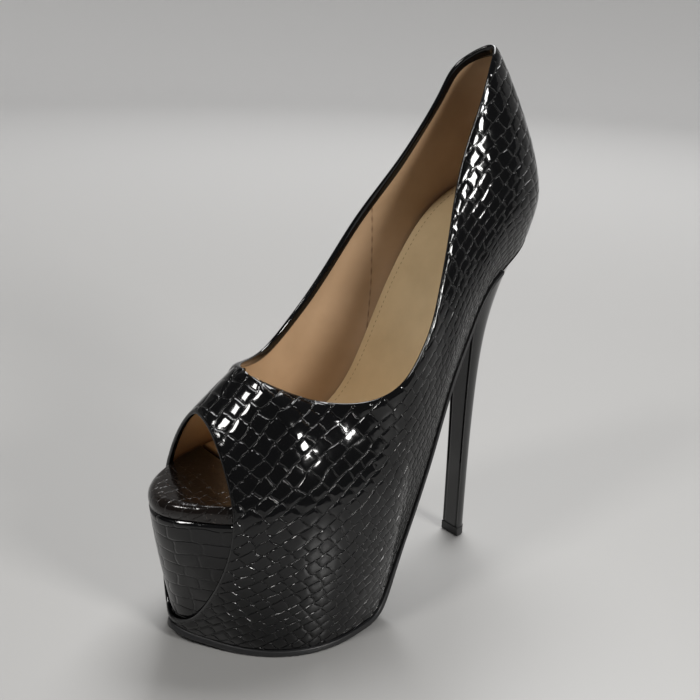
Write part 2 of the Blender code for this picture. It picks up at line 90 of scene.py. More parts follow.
FOREPART = OUTSOLE_THICKNESS + FIT

# The upper's bottom edge, from the centre of the toe to the centre of the back.
# along: share of SHOE_LENGTH; spring: share of TOE_SPRING; rise: share of the climb to the seat;
# lateral, medial: shares of BALL_WIDTH
SOLE_LINE = (
    # along, spring, rise, lateral, medial
    (0.0606, 1.00, 0.000, -0.063, -0.063),
    (0.0739, 0.74, 0.000, 0.052, -0.151),
    (0.0999, 0.46, 0.000, 0.151, -0.248),
    (0.1378, 0.18, 0.000, 0.273, -0.341),
    (0.1970, 0.00, 0.000, 0.407, -0.428),
    (0.2633, 0.00, 0.000, 0.490, -0.473),
    (0.3343, 0.00, 0.000, 0.516, -0.472),
    (0.4053, 0.00, 0.001, 0.497, -0.430),
    (0.4640, 0.00, 0.014, 0.458, -0.373),
    (0.5000, 0.00, 0.083, 0.435, -0.342),
    (0.5303, 0.00, 0.190, 0.440, -0.328),
    (0.5981, 0.00, 0.428, 0.441, -0.288),
    (0.6577, 0.00, 0.605, 0.407, -0.248),
    (0.7244, 0.00, 0.742, 0.363, -0.240),
    (0.8016, 0.00, 0.871, 0.326, -0.262),
    (0.8930, 0.00, 0.942, 0.291, -0.250),
    (0.9593, 0.00, 0.985, 0.192, -0.140),
    (0.9877, 0.00, 1.000, 0.029, 0.029),
)

# The line half way up the wall. height: share of COUNTER_HEIGHT over the foot's own climb
GIRTH_LINE = (
    # along, height, lateral, medial
    (0.0085, -0.001, -0.023, -0.023),
    (0.0208, -0.001, 0.087, -0.137),
    (0.0540, -0.001, 0.192, -0.244),
    (0.1212, -0.001, 0.337, -0.360),
    (0.1970, -0.001, 0.436, -0.438),
    (0.2680, -0.001, 0.500, -0.478),
    (0.3438, 0.011, 0.526, -0.486),
    (0.4148, 0.058, 0.520, -0.470),
    (0.4810, 0.123, 0.502, -0.442),
    (0.5150, 0.121, 0.491, -0.419),
    (0.5470, 0.094, 0.483, -0.401),
    (0.6150, 0.084, 0.453, -0.366),
    (0.6760, 0.135, 0.413, -0.342),
    (0.7400, 0.223, 0.365, -0.308),
    (0.8290, 0.306, 0.340, -0.291),
    (0.9261, 0.300, 0.293, -0.232),
    (0.9830, 0.247, 0.187, -0.104),
    (1.0000, 0.228, 0.035, 0.035),
)

# The centre line of the vamp, shared by both sides: along, height, across
RIDGE = (
    (0.0170, 0.293, -0.070),
    (0.0380, 0.353, -0.071),
    (0.0740, 0.406, -0.072),
    (0.1326, 0.475, -0.073),
    (0.1800, 0.565, -0.058),
    (0.2324, 0.673, -0.037),
)

# The topline behind the throat: along, height, across, on each side
TOPLINE_LATERAL = (
    (0.2599, 0.628, 0.102),
    (0.3343, 0.540, 0.238),
    (0.4124, 0.503, 0.390),
    (0.4834, 0.478, 0.465),
    (0.5473, 0.507, 0.470),
    (0.6184, 0.501, 0.401),
    (0.6667, 0.548, 0.314),
    (0.7083, 0.621, 0.238),
    (0.7533, 0.696, 0.190),
    (0.7936, 0.812, 0.172),
    (0.8325, 0.934, 0.132),
)
TOPLINE_MEDIAL = (
    (0.2722, 0.646, -0.174),
    (0.3329, 0.597, -0.313),
    (0.4020, 0.593, -0.410),
    (0.4669, 0.624, -0.437),
    (0.5175, 0.627, -0.431),
    (0.5999, 0.611, -0.405),
    (0.6477, 0.590, -0.353),
    (0.6918, 0.637, -0.258),
    (0.7367, 0.708, -0.174),
    (0.7817, 0.830, -0.137),
    (0.8205, 0.931, -0.092),
)
TOPLINE_BACK = (0.8670, 1.000, 0.030)

# How far each section turns level where it meets the top edge, from the toe to the back
CROWN = (1, 1, 1, 1, 1, 1, 0.5, 0.28, 0.12, 0.04, 0, 0, 0, 0, 0, 0, 0, 0)

# Where the foot rests: share of the climb from the toe roll's top to the fill over the seat
BED = (0, 0, 0, 0, 0, 0, 0.000, 0.003, 0.010, 0.022, 0.045, 0.202, 0.442, 0.677, 0.854, 0.949, 0.984, 1)

# Heel rings below the seat, from the top lift up. height: share of the breast's top;
# front: share of the breast's lean; depth, width: shares of the seat's own; tilt: share of its slope
HEEL_RINGS = (
    # height, front, depth, width, tilt
    (0.000, 1.00, 0.000, 0.000, 0.00),
    (0.300, 0.95, 0.020, 0.010, 0.00),
    (0.500, 0.90, 0.060, 0.045, 0.00),
    (0.660, 0.84, 0.130, 0.110, 0.08),
    (0.780, 0.76, 0.270, 0.200, 0.25),
    (0.870, 0.62, 0.480, 0.340, 0.48),
    (0.945, 0.36, 0.740, 0.600, 0.75),
)
BREAST_LEAN = 0.0039
HEEL_SQUARE = 0.86

# How round the wall is below and above its girth line, and the vamp on its two sides
FULLNESS = (0.25, 1.05)
VAMP_ROUND = (1.32, 1.05)
SHOULDER = 0.4

# Rows between which the toe roll goes in under the upper
ROLL_FADES = (2.1, 2.6)

# Rows between which the insole goes from the toe roll's thickness to its own
INSOLE_THINS = (8, 12)
APEX_ROW = 3
THROAT_ROW = 5
SIDES = (1, -1)


# Splines through the rows of the tables

def spline(knots, rows, closed=False):
    """A cubic spline through the rows; a closed one comes back to its first row at the last knot."""
    knots = np.asarray(knots, float)
    rows = np.asarray(rows, float)
    count = len(knots)
    step = np.diff(knots)
    slope = np.diff(rows, axis=0) / step[:, None]
    system = np.zeros((count, count))
    right = np.zeros_like(rows)
    for i in range(1, count - 1):
        system[i, i - 1:i + 2] = step[i - 1], 2 * (step[i - 1] + step[i]), step[i]
        right[i] = 6 * (slope[i] - slope[i - 1])
    if closed:
        system[0, 0], system[0, -1] = 1, -1
        system[-1, 0], system[-1, 1] = 2 * step[0], step[0]
        system[-1, -1], system[-1, -2] = 2 * step[-1], step[-1]
        right[-1] = 6 * (slope[0] - slope[-1])
    else:
        system[0, 0] = system[-1, -1] = 1
    bend = np.linalg.solve(system, right)

    def at(where):
        where = np.asarray(where, float)
        if closed:
            where = knots[0] + np.mod(where - knots[0], knots[-1] - knots[0])
        i = np.clip(np.searchsorted(knots, where, side="right") - 1, 0, count - 2)
        h = step[i][..., None]
        b = ((where - knots[i]) / step[i])[..., None]
        a = 1 - b
        curve = ((a ** 3 - a) * bend[i] + (b ** 3 - b) * bend[i + 1]) * h * h / 6
        return a * rows[i] + b * rows[i + 1] + curve

    return at


def unit(vector):
    return vector / np.maximum(np.linalg.norm(vector, axis=-1, keepdims=True), 1e-12)


def shares_to_point(row, along, height, across):
    """A point over the foot's climb, which goes from the platform to the seat with the sole line."""
    rise = SOLE_LINE[row][2]
    climb = PLATFORM_HEIGHT + rise * (SEAT_HEIGHT - PLATFORM_HEIGHT)
    return (across * BALL_WIDTH, along * SHOE_LENGTH, climb + height * COUNTER_HEIGHT)


def sole_point(row, side):
    along, spring, rise, lateral, medial = row
    height = FOREPART + spring * TOE_SPRING + rise * (SEAT_HEIGHT - FOREPART)
    return ((lateral if side > 0 else medial) * BALL_WIDTH, along * SHOE_LENGTH, height)


def girth_point(row, side):
    along, height, lateral, medial = GIRTH_LINE[row]
    return shares_to_point(row, along, height, lateral if side > 0 else medial)


class Last:
    """The outer surface of the upper as a function of the way round the shoe and the way up its wall."""

    def __init__(self):
        sole = {side: np.array([sole_point(row, side) for row in SOLE_LINE]) for side in SIDES}
        girth_rows = range(len(GIRTH_LINE))
        girth = {side: np.array([girth_point(row, side) for row in girth_rows]) for side in SIDES}
        chord = [np.linalg.norm(np.diff(line, axis=0), axis=1)
                 for line in (sole[1], sole[-1], girth[1], girth[-1])]
        self.knots = np.concatenate([[0], np.cumsum(np.mean(chord, axis=0))])
        self.end = self.knots[-1]
        self.apex = self.knots[APEX_ROW]
        self.throat = self.knots[THROAT_ROW]
        loop = np.concatenate([self.knots, 2 * self.end - self.knots[-2::-1]])
        self.sole_loop = spline(loop, np.concatenate([sole[1], sole[-1][-2::-1]]), closed=True)
        self.girth_loop = spline(loop, np.concatenate([girth[1], girth[-1][-2::-1]]), closed=True)
        ridge = [shares_to_point(row, *shares) for row, shares in enumerate(RIDGE)]
        lateral, medial = ([shares_to_point(row, *shares) for row, shares in enumerate(line, THROAT_ROW + 1)]
                           for line in (TOPLINE_LATERAL, TOPLINE_MEDIAL))
        back = shares_to_point(len(SOLE_LINE) - 1, *TOPLINE_BACK)
        self.ridge = spline(self.knots[:THROAT_ROW + 1], ridge)
        collar = [ridge[-1], *lateral, back, *medial[::-1], ridge[-1]]
        behind = self.knots[THROAT_ROW:]
        self.collar = spline(np.concatenate([behind, 2 * self.end - behind[-2::-1]]), collar, closed=True)

    def sole(self, around):
        point = self.sole_loop(around)
        point[..., 2] = np.maximum(point[..., 2], FOREPART)
        return point

    def top(self, around):
        short = self.from_toe(around)
        ridge = self.ridge(np.minimum(short, self.throat))
        collar = self.collar(np.clip(around, self.throat, 2 * self.end - self.throat))
        return np.where((short <= self.throat)[..., None], ridge, collar)

    def from_toe(self, around):
        around = np.mod(around, 2 * self.end)
        return np.minimum(around, 2 * self.end - around)

    def surface(self, around, up):
        """Points at a way round (0 toe, end back, 2 end toe again) and a way up (0 sole, 1 top edge)."""
        around = np.mod(np.asarray(around, float), 2 * self.end)
        up = np.asarray(up, float)
        around, up = np.broadcast_arrays(around, up)
        sole, girth, top = self.sole(around), self.girth_loop(around), self.top(around)
        side = np.where(around <= self.end, 1.0, -1.0)
        crown = np.interp(self.from_toe(around), self.knots, CROWN)[..., None]
        lower, upper = girth - sole, top - girth
        middle = unit((1 + crown) * unit(lower) + (1 - SHOULDER * crown) * unit(upper))
        level = np.stack([-side, np.zeros_like(side), np.zeros_like(side)], -1)
        start = unit(lower) + FULLNESS[0] * (unit(lower) - middle)
        finish = unit(crown * level + (1 - crown) * (unit(upper) + FULLNESS[1] * (unit(upper) - middle)))
        length = np.linalg.norm(upper, axis=-1, keepdims=True)
        arc = np.where(side > 0, *VAMP_ROUND)[..., None]
        start_pull = (1 - crown) * length + crown * arc * np.abs(upper[..., 2:3])
        end_pull = (1 - crown) * length + crown * arc * np.abs(upper[..., 0:1])
        rise = np.linalg.norm(lower, axis=-1, keepdims=True)
        first = hermite(sole, girth, start * rise, middle * rise, up * 2)
        second = hermite(girth, top, middle * start_pull, finish * end_pull, up * 2 - 1)
        return np.where((up <= 0.5)[..., None], first, second)

    def normal(self, around, up):
        around, up = np.broadcast_arrays(np.asarray(around, float), np.asarray(up, float))
        high, low = np.minimum(up + LIFT, 1), np.maximum(up - LIFT, 0)
        along = self.surface(around + NUDGE, up) - self.surface(around - NUDGE, up)
        upward = self.surface(around, high) - self.surface(around, low)
        return unit(np.cross(along, upward))

    def up_at(self, around, height):
        """The way up the wall at which the surface reaches a height."""
        around, height = np.broadcast_arrays(np.asarray(around, float), np.asarray(height, float))
        low, high = np.zeros(around.shape), np.ones(around.shape)
        for _ in range(36):
            middle = (low + high) / 2
            below = self.surface(around, middle)[..., 2] < height
            low, high = np.where(below, middle, low), np.where(below, high, middle)
        return (low + high) / 2

    def inside(self, around, height, inset):
        """Points of the surface at a height, moved in from it by an inset."""
        up = self.up_at(around, height)
        point = self.surface(around, up) - self.normal(around, up) * np.asarray(inset)[..., None]
        point[..., 2] = height
        return point

    def at_row(self, row):
        return np.interp(row, np.arange(len(self.knots)), self.knots)

    def at_length(self, along):
        """The way round at which the sole line reaches a distance from the toe."""
        samples = np.linspace(0, self.end, 800)
        return np.interp(along, self.sole(samples)[:, 1], samples)


def hermite(start, end, start_pull, end_pull, way):
    t = way[..., None]
    return ((2 * t ** 3 - 3 * t ** 2 + 1) * start + (t ** 3 - 2 * t ** 2 + t) * start_pull
            + (3 * t ** 2 - 2 * t ** 3) * end + (t ** 3 - t ** 2) * end_pull)


LAST = Last()
BED_CURVE = spline(LAST.knots, np.array(BED)[:, None])


# Lines along the shoe that several pieces share

def sole_direction(around):
    """Unit vector square to the sole line in side view, pointing out of the shoe."""
    ahead = LAST.sole(np.minimum(around + NUDGE, LAST.end))
    behind = LAST.sole(np.maximum(around - NUDGE, 0))
    run = unit((ahead - behind)[..., 1:])
    return np.stack([np.zeros_like(run[..., 0]), run[..., 1], -run[..., 0]], -1)


def bed_height(around):
    """Height of the surface that the foot rests on, by the way round."""
    low = PLATFORM_HEIGHT + FIT + TOE_ROLL
    return low + np.maximum(BED_CURVE(around)[..., 0], 0) * (SEAT_HEIGHT + SEAT_FILL - low)


class Layers:
    """Heights of the flat layers by distance from the toe, so that all of them nest."""

    def __init__(self):
        around = np.linspace(0, LAST.end, LAYER_SAMPLES)
        self.bed_height = bed_height(around)
        inner = LAST.inside(around, self.bed_height, np.full(around.shape, WALL))
        self.bed_along = np.maximum.accumulate(inner[:, 1])
        sole = LAST.sole(around)
        self.sole_along, self.sole_height = sole[:, 1], sole[:, 2]
        self.steady = [LAST.sole(LAST.at_row(row))[1] for row in INSOLE_THINS]

    def bed(self, along):
        return np.interp(along, self.bed_along, self.bed_height)

    def sole(self, along):
        return np.interp(along, self.sole_along, self.sole_height)

    def stretch(self, along):
        """How much longer a plumb line through the bed is than a square one."""
        run = 2 * SLOPE_REACH
        slope = (self.bed(along + SLOPE_REACH) - self.bed(along - SLOPE_REACH)) / run
        return np.sqrt(1 + slope ** 2)

    def insole_top(self, along):
        wrap = np.interp(along, (TOE_WRAP_END, TOE_WRAP_END + WRAP_STEP), (1, 0))
        return self.bed(along) - (1 - wrap) * (SOCK_THICKNESS + FIT) * self.stretch(along)

    def insole_under(self, along):
        stretch = self.stretch(along)
        behind = INSOLE_THICKNESS + SOCK_THICKNESS + FIT
        whole = np.interp(along, self.steady, (TOE_ROLL, behind))
        least = self.sole(along) + (PLATFORM_LEAST + FIT) * stretch
        return np.maximum(self.bed(along) - whole * stretch, least)

    def platform_top(self, along):
        return self.insole_under(along) - FIT * self.stretch(along)

    def sock_under(self, along):
        return self.insole_top(along) + FIT * self.stretch(along)


LAYERS = Layers()


# Scales of the upper: size, turn in degrees, and how they crowd together towards the sole
SCALE_WIDE = 0.0080
SCALE_HIGH = 0.0074
SCALE_RISE = 42.0
FINE_ROWS = 7.5
STEEP_LOW = 0.012
NARROW_ROWS = (-8, -1)
SCALE_RELIEF = 0.00010

# Scales of the platform and of the toe wrap
PLATFORM_SCALE_WIDE = 0.0115
PLATFORM_SCALE_HIGH = 0.0064
PLATFORM_RELIEF = 0.55
WRAP_SCALE_WIDE = 0.0075
WRAP_SCALE_HIGH = 0.0046

# The upper's edges: the bands turned over them, the fold, and the pull towards the sole
RIM_BAND = 0.0033
PEEP_BAND = 0.0016
BACK_BAND = 0.0018
BAND_SHAPE = ((0.12, 0.00022), (0.4, 0.00025), (0.7, 0.00025), (0.95, 0.00022), (1.0, -0.0006))
LINING_UNDER = 0.58
RIM_REACH = 0.82 * WALL / 2
EDGE_ROLL = 0.0005
ROLL_REACH = 0.0045
FOOT_TUCK = 0.0004
TUCK_REACH = 0.0040
HEEL_TUCK = 0.0003
THROAT_NEAR = (0.004, 0.016)
THROAT_FACING = 0.94
PLAIN_EDGE = (0.0016, 0.0008)
PLAIN_SHARE = 0.75

# Seams, by row of the last, and stitches
SEAM_WIDE = 0.00045
INNER_SEAM_ROW = 9.9
LINING_SEAM_ROW = 12.1
LINING_SEAM_WIDE = 0.00040
STITCH_INSET = 0.0034
STITCH_STEP = 0.0026
STITCH_SUNK = 0.00006
STITCH_LENGTH = 0.0014
STITCH_RADIUS = 0.00022

# Sock, toe wrap and heel
SOCK_DIP = 0.0012
TOP_ROUND = 2.4
WRAP_FADES = (0.026, 0.034)
GROOVE_AT = 0.80
GROOVE_WIDE = 0.055
GROOVE_DEEP = 0.00045

# Sampling
CUT_STEPS = 56
SIDE_STEPS = 30
RIDGE_STEPS = 32
COLLAR_STEPS = 200
COLLAR_CROWD = 0.30
FOOT_ROWS = (4.4, 5.4)
WALL_STEPS = 130
ARC_STEPS = 6
PATTERN_COLUMNS = 44
PATTERN_ROWS = 13
CHART_ROWS = 200
PLATFORM_SHARES = 40
RIM_POINTS = 11
SOCK_POINTS = 40
BREAST_POINTS = 25
ROUND_POINTS = 71
APEX_COLUMN = CUT_STEPS + SIDE_STEPS
THROAT_COLUMN = APEX_COLUMN + RIDGE_STEPS

# The frame's origin in the last's own coordinates
ORIGIN = np.array([0.0020229, 0.1077852, 0.0])


def place(points):
    return np.asarray(points) - ORIGIN


def smooth(value, low, high):
    t = np.clip((value - low) / (high - low), 0, 1)
    return t * t * (3 - 2 * t)


def add_mesh(name, verts, faces, attributes=None, merge=2e-6):
    """A smooth mesh; attributes are numbers or vectors for each vertex."""
    mesh = bpy.data.meshes.new(name)
    mesh.from_pydata(np.asarray(verts).tolist(), [], faces)
    for key, values in (attributes or {}).items():
        single = values.ndim == 1
        store = mesh.attributes.new(key, "FLOAT" if single else "FLOAT_VECTOR", "POINT")
        store.data.foreach_set("value" if single else "vector", values.ravel())
    work = bmesh.new()
    work.from_mesh(mesh)
    bmesh.ops.remove_doubles(work, verts=work.verts, dist=merge)
    bmesh.ops.dissolve_degenerate(work, edges=work.edges, dist=merge)
    bmesh.ops.recalc_face_normals(work, faces=work.faces)
    work.to_mesh(mesh)
    work.free()
    mesh.shade_smooth()
    piece = bpy.data.objects.new(name, mesh)
    bpy.context.scene.collection.objects.link(piece)
    return piece


def quads_of(index):
    """Four-sided faces between the neighbours in a grid of point numbers."""
    return np.stack([index[..., :-1, :-1], index[..., :-1, 1:], index[..., 1:, 1:], index[..., 1:, :-1]], -1)


def grid_faces(rows, columns, closed=False, first=0):
    index = first + np.arange(rows * columns).reshape(rows, columns)
    if closed:
        index = np.concatenate([index, index[:, :1]], axis=1)
    return quads_of(index).reshape(-1, 4).tolist()


def ring_piece(name, rings, material, caps=(), chart=None, relief=None):
    """A piece made of closed rings of points; caps are the rings that are filled across."""
    rows, columns = rings.shape[:2]
    faces = grid_faces(rows, columns, closed=True)
    faces.extend(list(range(row * columns, (row + 1) * columns)) for row in caps)
    attributes = {} if chart is None else {"chart": chart.reshape(-1, 3), "relief": relief.ravel()}
    piece = add_mesh(name, place(rings.reshape(-1, 3)), faces, attributes)
    piece.data.materials.append(material)
    return piece


# Materials from nodes

class Graph:
    """Short words for putting nodes together, for a material or a modifier."""

    def __init__(self, name, tree=None):
        self.tree = tree
        if tree is None:
            self.material = bpy.data.materials.new(name)
            self.material.use_nodes = True
            self.tree = self.material.node_tree
            self.shader = self.tree.nodes["Principled BSDF"]

    def feed(self, socket, value):
        if isinstance(value, bpy.types.NodeSocket):
            self.tree.links.new(value, socket)
        else:
            socket.default_value = value

    def node(self, kind, inputs=None, **settings):
        made = self.tree.nodes.new(kind)
        for key, value in settings.items():
            setattr(made, key, value)
        for key, value in (inputs or {}).items():
            self.feed(made.inputs[key], value)
        return made

    def math(self, operation, first, second=0.0, third=0.0):
        made = self.node("ShaderNodeMath", {0: first, 1: second, 2: third}, operation=operation)
        return made.outputs[0]

    def ramp(self, value, low, high, start=0.0, end=1.0):
        inputs = {"Value": value, "From Min": low, "From Max": high, "To Min": start, "To Max": end}
        return self.node("ShaderNodeMapRange", inputs, interpolation_type="SMOOTHSTEP").outputs[0]

    def noise(self, vector, scale, detail=2.0, rough=0.5):
        inputs = {"Vector": vector, "Scale": scale, "Detail": detail, "Roughness": rough}
        return self.node("ShaderNodeTexNoise", inputs).outputs[0]

    def attribute(self, name, vector=False):
        if self.tree.type == "GEOMETRY":
            kind = "FLOAT_VECTOR" if vector else "FLOAT"
            return self.node("GeometryNodeInputNamedAttribute", {"Name": name}, data_type=kind).outputs[0]
        made = self.node("ShaderNodeAttribute", attribute_name=name)
        return made.outputs["Vector" if vector else "Fac"]

    def parts(self, vector):
        made = self.node("ShaderNodeSeparateXYZ", {0: vector})
        return made.outputs[0], made.outputs[1]

    def join(self, first, second):
        return self.node("ShaderNodeCombineXYZ", {0: first, 1: second}).outputs[0]

    def chance(self, first, second=0.0):
        """Two random numbers for each pair of whole numbers."""
        pair = self.join(first, second)
        made = self.node("ShaderNodeTexWhiteNoise", {"Vector": pair}, noise_dimensions="2D")
        split = self.node("ShaderNodeSeparateXYZ", {0: made.outputs["Color"]})
        return split.outputs[0], split.outputs[1]

    def where(self):
        return self.node("ShaderNodeTexCoord").outputs["Object"]

    def mix(self, share, first, second):
        made = self.node("ShaderNodeMix", data_type="RGBA")
        self.feed(made.inputs[0], share)
        self.feed(made.inputs[6], first)
        self.feed(made.inputs[7], second)
        return made.outputs[2]

    def bump(self, height, distance):
        inputs = {"Height": height, "Distance": distance, "Strength": 1.0}
        return self.node("ShaderNodeBump", inputs).outputs[0]

    def finish(self, **inputs):
        for key, value in inputs.items():
            self.feed(self.shader.inputs[key.replace("_", " ")], value)
        return self.material


def scales(g, wide, rounding=0.16):
    """Rows of rounded scales from the chart (metres along a row, rows across): the distance
    to the nearest crease in row heights, and the slant of each scale's own top."""
    along, rows = g.parts(g.attribute("chart", vector=True))
    spot = g.join(g.math("MULTIPLY", along, 1 / wide), rows)
    drift = g.math("SUBTRACT", g.noise(spot, 0.37, 1.0), 0.5)
    rows = g.math("MULTIPLY_ADD", drift, 0.9, rows)
    ripple = g.math("SUBTRACT", g.noise(spot, 1.3, 1.0), 0.5)
    rows = g.math("MULTIPLY_ADD", ripple, 0.22, rows)
    row = g.math("FLOOR", rows)
    shift, stretch = g.chance(row)
    narrow = g.ramp(row, *NARROW_ROWS, start=1.5, end=1.0)
    step = g.math("MULTIPLY", g.math("MULTIPLY_ADD", stretch, 0.25 / wide, 0.88 / wide), narrow)
    along = g.math("MULTIPLY_ADD", along, step, g.math("MULTIPLY", shift, 7.0))
    other = g.math("SUBTRACT", g.noise(spot, 1.1, 1.0), 0.5)
    along = g.math("MULTIPLY_ADD", other, 0.35, along)
    column = g.math("FLOOR", along)
    x = g.math("SUBTRACT", g.math("SUBTRACT", along, column), 0.5)
    y = g.math("SUBTRACT", g.math("SUBTRACT", rows, row), 0.5)
    out_x = g.math("SUBTRACT", g.math("ABSOLUTE", x), 0.5 - rounding)
    out_y = g.math("SUBTRACT", g.math("ABSOLUTE", y), 0.5 - rounding)
    corner = g.math("SQRT", g.math("ADD", g.math("POWER", g.math("MAXIMUM", out_x, 0.0), 2.0),
                                   g.math("POWER", g.math("MAXIMUM", out_y, 0.0), 2.0)))
    flat = g.math("MINIMUM", g.math("MAXIMUM", out_x, out_y), 0.0)
    distance = g.math("SUBTRACT", rounding, g.math("ADD", corner, flat))
    lean_x, lean_y = g.chance(column, row)
    slant = g.math("ADD", g.math("MULTIPLY", x, g.math("SUBTRACT", lean_x, 0.5)),
                   g.math("MULTIPLY", y, g.math("SUBTRACT", lean_y, 0.5)))
    return distance, slant, lean_x


def colour(red, green, blue):
    return (red, green, blue, 1.0)


def patent(name, wide=SCALE_WIDE, relief=1.0):
    """Croc-embossed patent: flat glossy scales between narrow creases with rounded shoulders; the creases
    carry painted shade.
    """
    g = Graph(name)
    distance, slant, tone = scales(g, wide)
    groove = g.ramp(distance, 0.0, 0.075, -1.2, 0.0)
    pillow = g.ramp(distance, 0.03, 0.30)
    show = g.attribute("relief")
    spot = g.where()
    wavy = g.noise(spot, 150.0, 2.0)
    grain = g.noise(spot, 1400.0, 2.0)
    height = g.math("MULTIPLY_ADD", pillow, 0.16, groove)
    height = g.math("MULTIPLY_ADD", g.math("MULTIPLY", slant, pillow), 0.55, height)
    height = g.math("MULTIPLY", height, show)
    height = g.math("MULTIPLY_ADD", wavy, 0.40, height)
    height = g.math("MULTIPLY_ADD", g.attribute("seam"), -1.6, height)
    height = g.math("MULTIPLY_ADD", grain, 0.012, height)
    normal = g.bump(height, 0.00030 * relief)
    # painted shade: the creases get a darker base colour, as well as a rougher finish
    deep = g.math("MULTIPLY", g.ramp(distance, 0.0, 0.06, 1.0, 0.0), show)
    dust = g.math("MULTIPLY", g.ramp(g.noise(spot, 2300.0, 1.0), 0.745, 0.79), 0.10)
    base = g.mix(deep, colour(0.0022, 0.0022, 0.0025), colour(0.0010, 0.0010, 0.0012))
    base = g.mix(dust, base, colour(0.30, 0.28, 0.26))
    rough = g.math("MULTIPLY_ADD", deep, 0.10, 0.07)
    rough = g.math("MULTIPLY_ADD", tone, 0.05, rough)
    return g.finish(Base_Color=base, Roughness=rough, Normal=normal, Coat_Weight=0.25, Coat_Roughness=0.03,
                    Coat_Normal=normal, Specular_IOR_Level=0.34)


def heel_gloss():
    """Plain glossy black wrap with a slight unevenness."""
    g = Graph("heel_gloss")
    spot = g.where()
    ripple = g.math("MULTIPLY", g.noise(spot, 900.0), 0.03)
    height = g.math("MULTIPLY_ADD", g.noise(spot, 60.0, 2.0), 0.18, ripple)
    rough = g.math("MULTIPLY_ADD", g.noise(spot, 220.0, 3.0), 0.06, 0.07)
    return g.finish(Base_Color=colour(0.003, 0.003, 0.00315), Roughness=rough,
                    Normal=g.bump(height, 0.0003), Coat_Weight=0.3, Coat_Roughness=0.05,
                    Specular_IOR_Level=0.4)


def sole_rubber():
    """Near-black sole with fine grain and paler scuffs."""
    g = Graph("sole_rubber")
    spot = g.where()
    fine = g.noise(spot, 420.0, 3.0)
    scuffs = g.ramp(g.noise(spot, 55.0, 5.0, 0.7), 0.55, 0.8)
    base = g.mix(scuffs, colour(0.014, 0.014, 0.015), colour(0.030, 0.029, 0.028))
    return g.finish(Base_Color=base, Roughness=g.math("MULTIPLY_ADD", fine, 0.2, 0.32),
                    Normal=g.bump(fine, 0.00012))


def lift_rubber():
    g = Graph("lift_rubber")
    fine = g.noise(g.where(), 900.0, 3.0)
    return g.finish(Base_Color=colour(0.016, 0.016, 0.016), Roughness=0.5, Normal=g.bump(fine, 0.0001))


def thread():
    return Graph("thread").finish(Base_Color=colour(0.30, 0.19, 0.09), Roughness=0.6)


def lining_leather(name, base, roughness):
    """Tan lining leather: fine grain, soft sheen, slightly worn tone."""
    g = Graph(name)
    spot = g.where()
    tone = g.noise(spot, 26.0, 4.0, 0.6)
    pores = g.noise(spot, 1500.0, 2.0)
    shade = g.mix(g.ramp(tone, 0.3, 0.75), colour(base[0] * 0.90, base[1] * 0.88, base[2] * 0.84),
                  colour(*[min(c * 1.07, 1) for c in base]))
    shade = g.mix(g.attribute("seam"), shade, colour(base[0] * 0.35, base[1] * 0.28, base[2] * 0.22))
    height = g.math("MULTIPLY_ADD", pores, 0.10, g.math("MULTIPLY", tone, 0.5))
    height = g.math("SUBTRACT", height, g.attribute("seam"))
    return g.finish(Base_Color=shade, Roughness=roughness, Normal=g.bump(height, 0.00022),
                    Coat_Weight=0.18, Coat_Roughness=0.32)


# The upper

def length_of(line):
    return np.concatenate([[0], np.cumsum(np.linalg.norm(np.diff(line, axis=0), axis=1))])


def upper_columns():
    """Foot and edge of each column on one side, as ways round and up, with the kind of edge."""
    turn = np.linspace(0, np.pi / 2, CUT_STEPS + 1)
    low = LAST.up_at(0.0, LAST.sole(0.0)[2] + PEEP_STRIP)
    full = LAST.up_at(LAST.apex, PEEP_FULL_HEIGHT)
    cut = np.stack([LAST.apex * np.sin(turn) ** PEEP_POINT, low + (full - low) * (1 - np.cos(turn))], 1)
    rest = np.linspace(full, 1, SIDE_STEPS + 1)[1:]
    side = np.stack([np.full(rest.shape, LAST.apex), rest], 1)
    ridge = np.linspace(LAST.apex, LAST.throat, RIDGE_STEPS + 1)[1:]
    way = np.linspace(0, 1, COLLAR_STEPS + 1)[1:]
    way = way + COLLAR_CROWD * way * (1 - way)
    level = np.concatenate([ridge, LAST.throat + (LAST.end - LAST.throat) * way])
    edge = np.concatenate([cut, side, np.stack([level, np.ones(level.shape)], 1)])
    behind_cut, behind_ridge = (LAST.at_row(row) for row in FOOT_ROWS)
    foot = np.concatenate([
        np.linspace(0, behind_cut, APEX_COLUMN + 1),
        np.linspace(behind_cut, behind_ridge, RIDGE_STEPS + 1)[1:],
        behind_ridge + (LAST.end - behind_ridge) * way,
    ])
    column = np.arange(len(edge))
    collar_edge = column >= THROAT_COLUMN
    open_edge = (column <= APEX_COLUMN) | collar_edge
    return foot, edge, open_edge, collar_edge


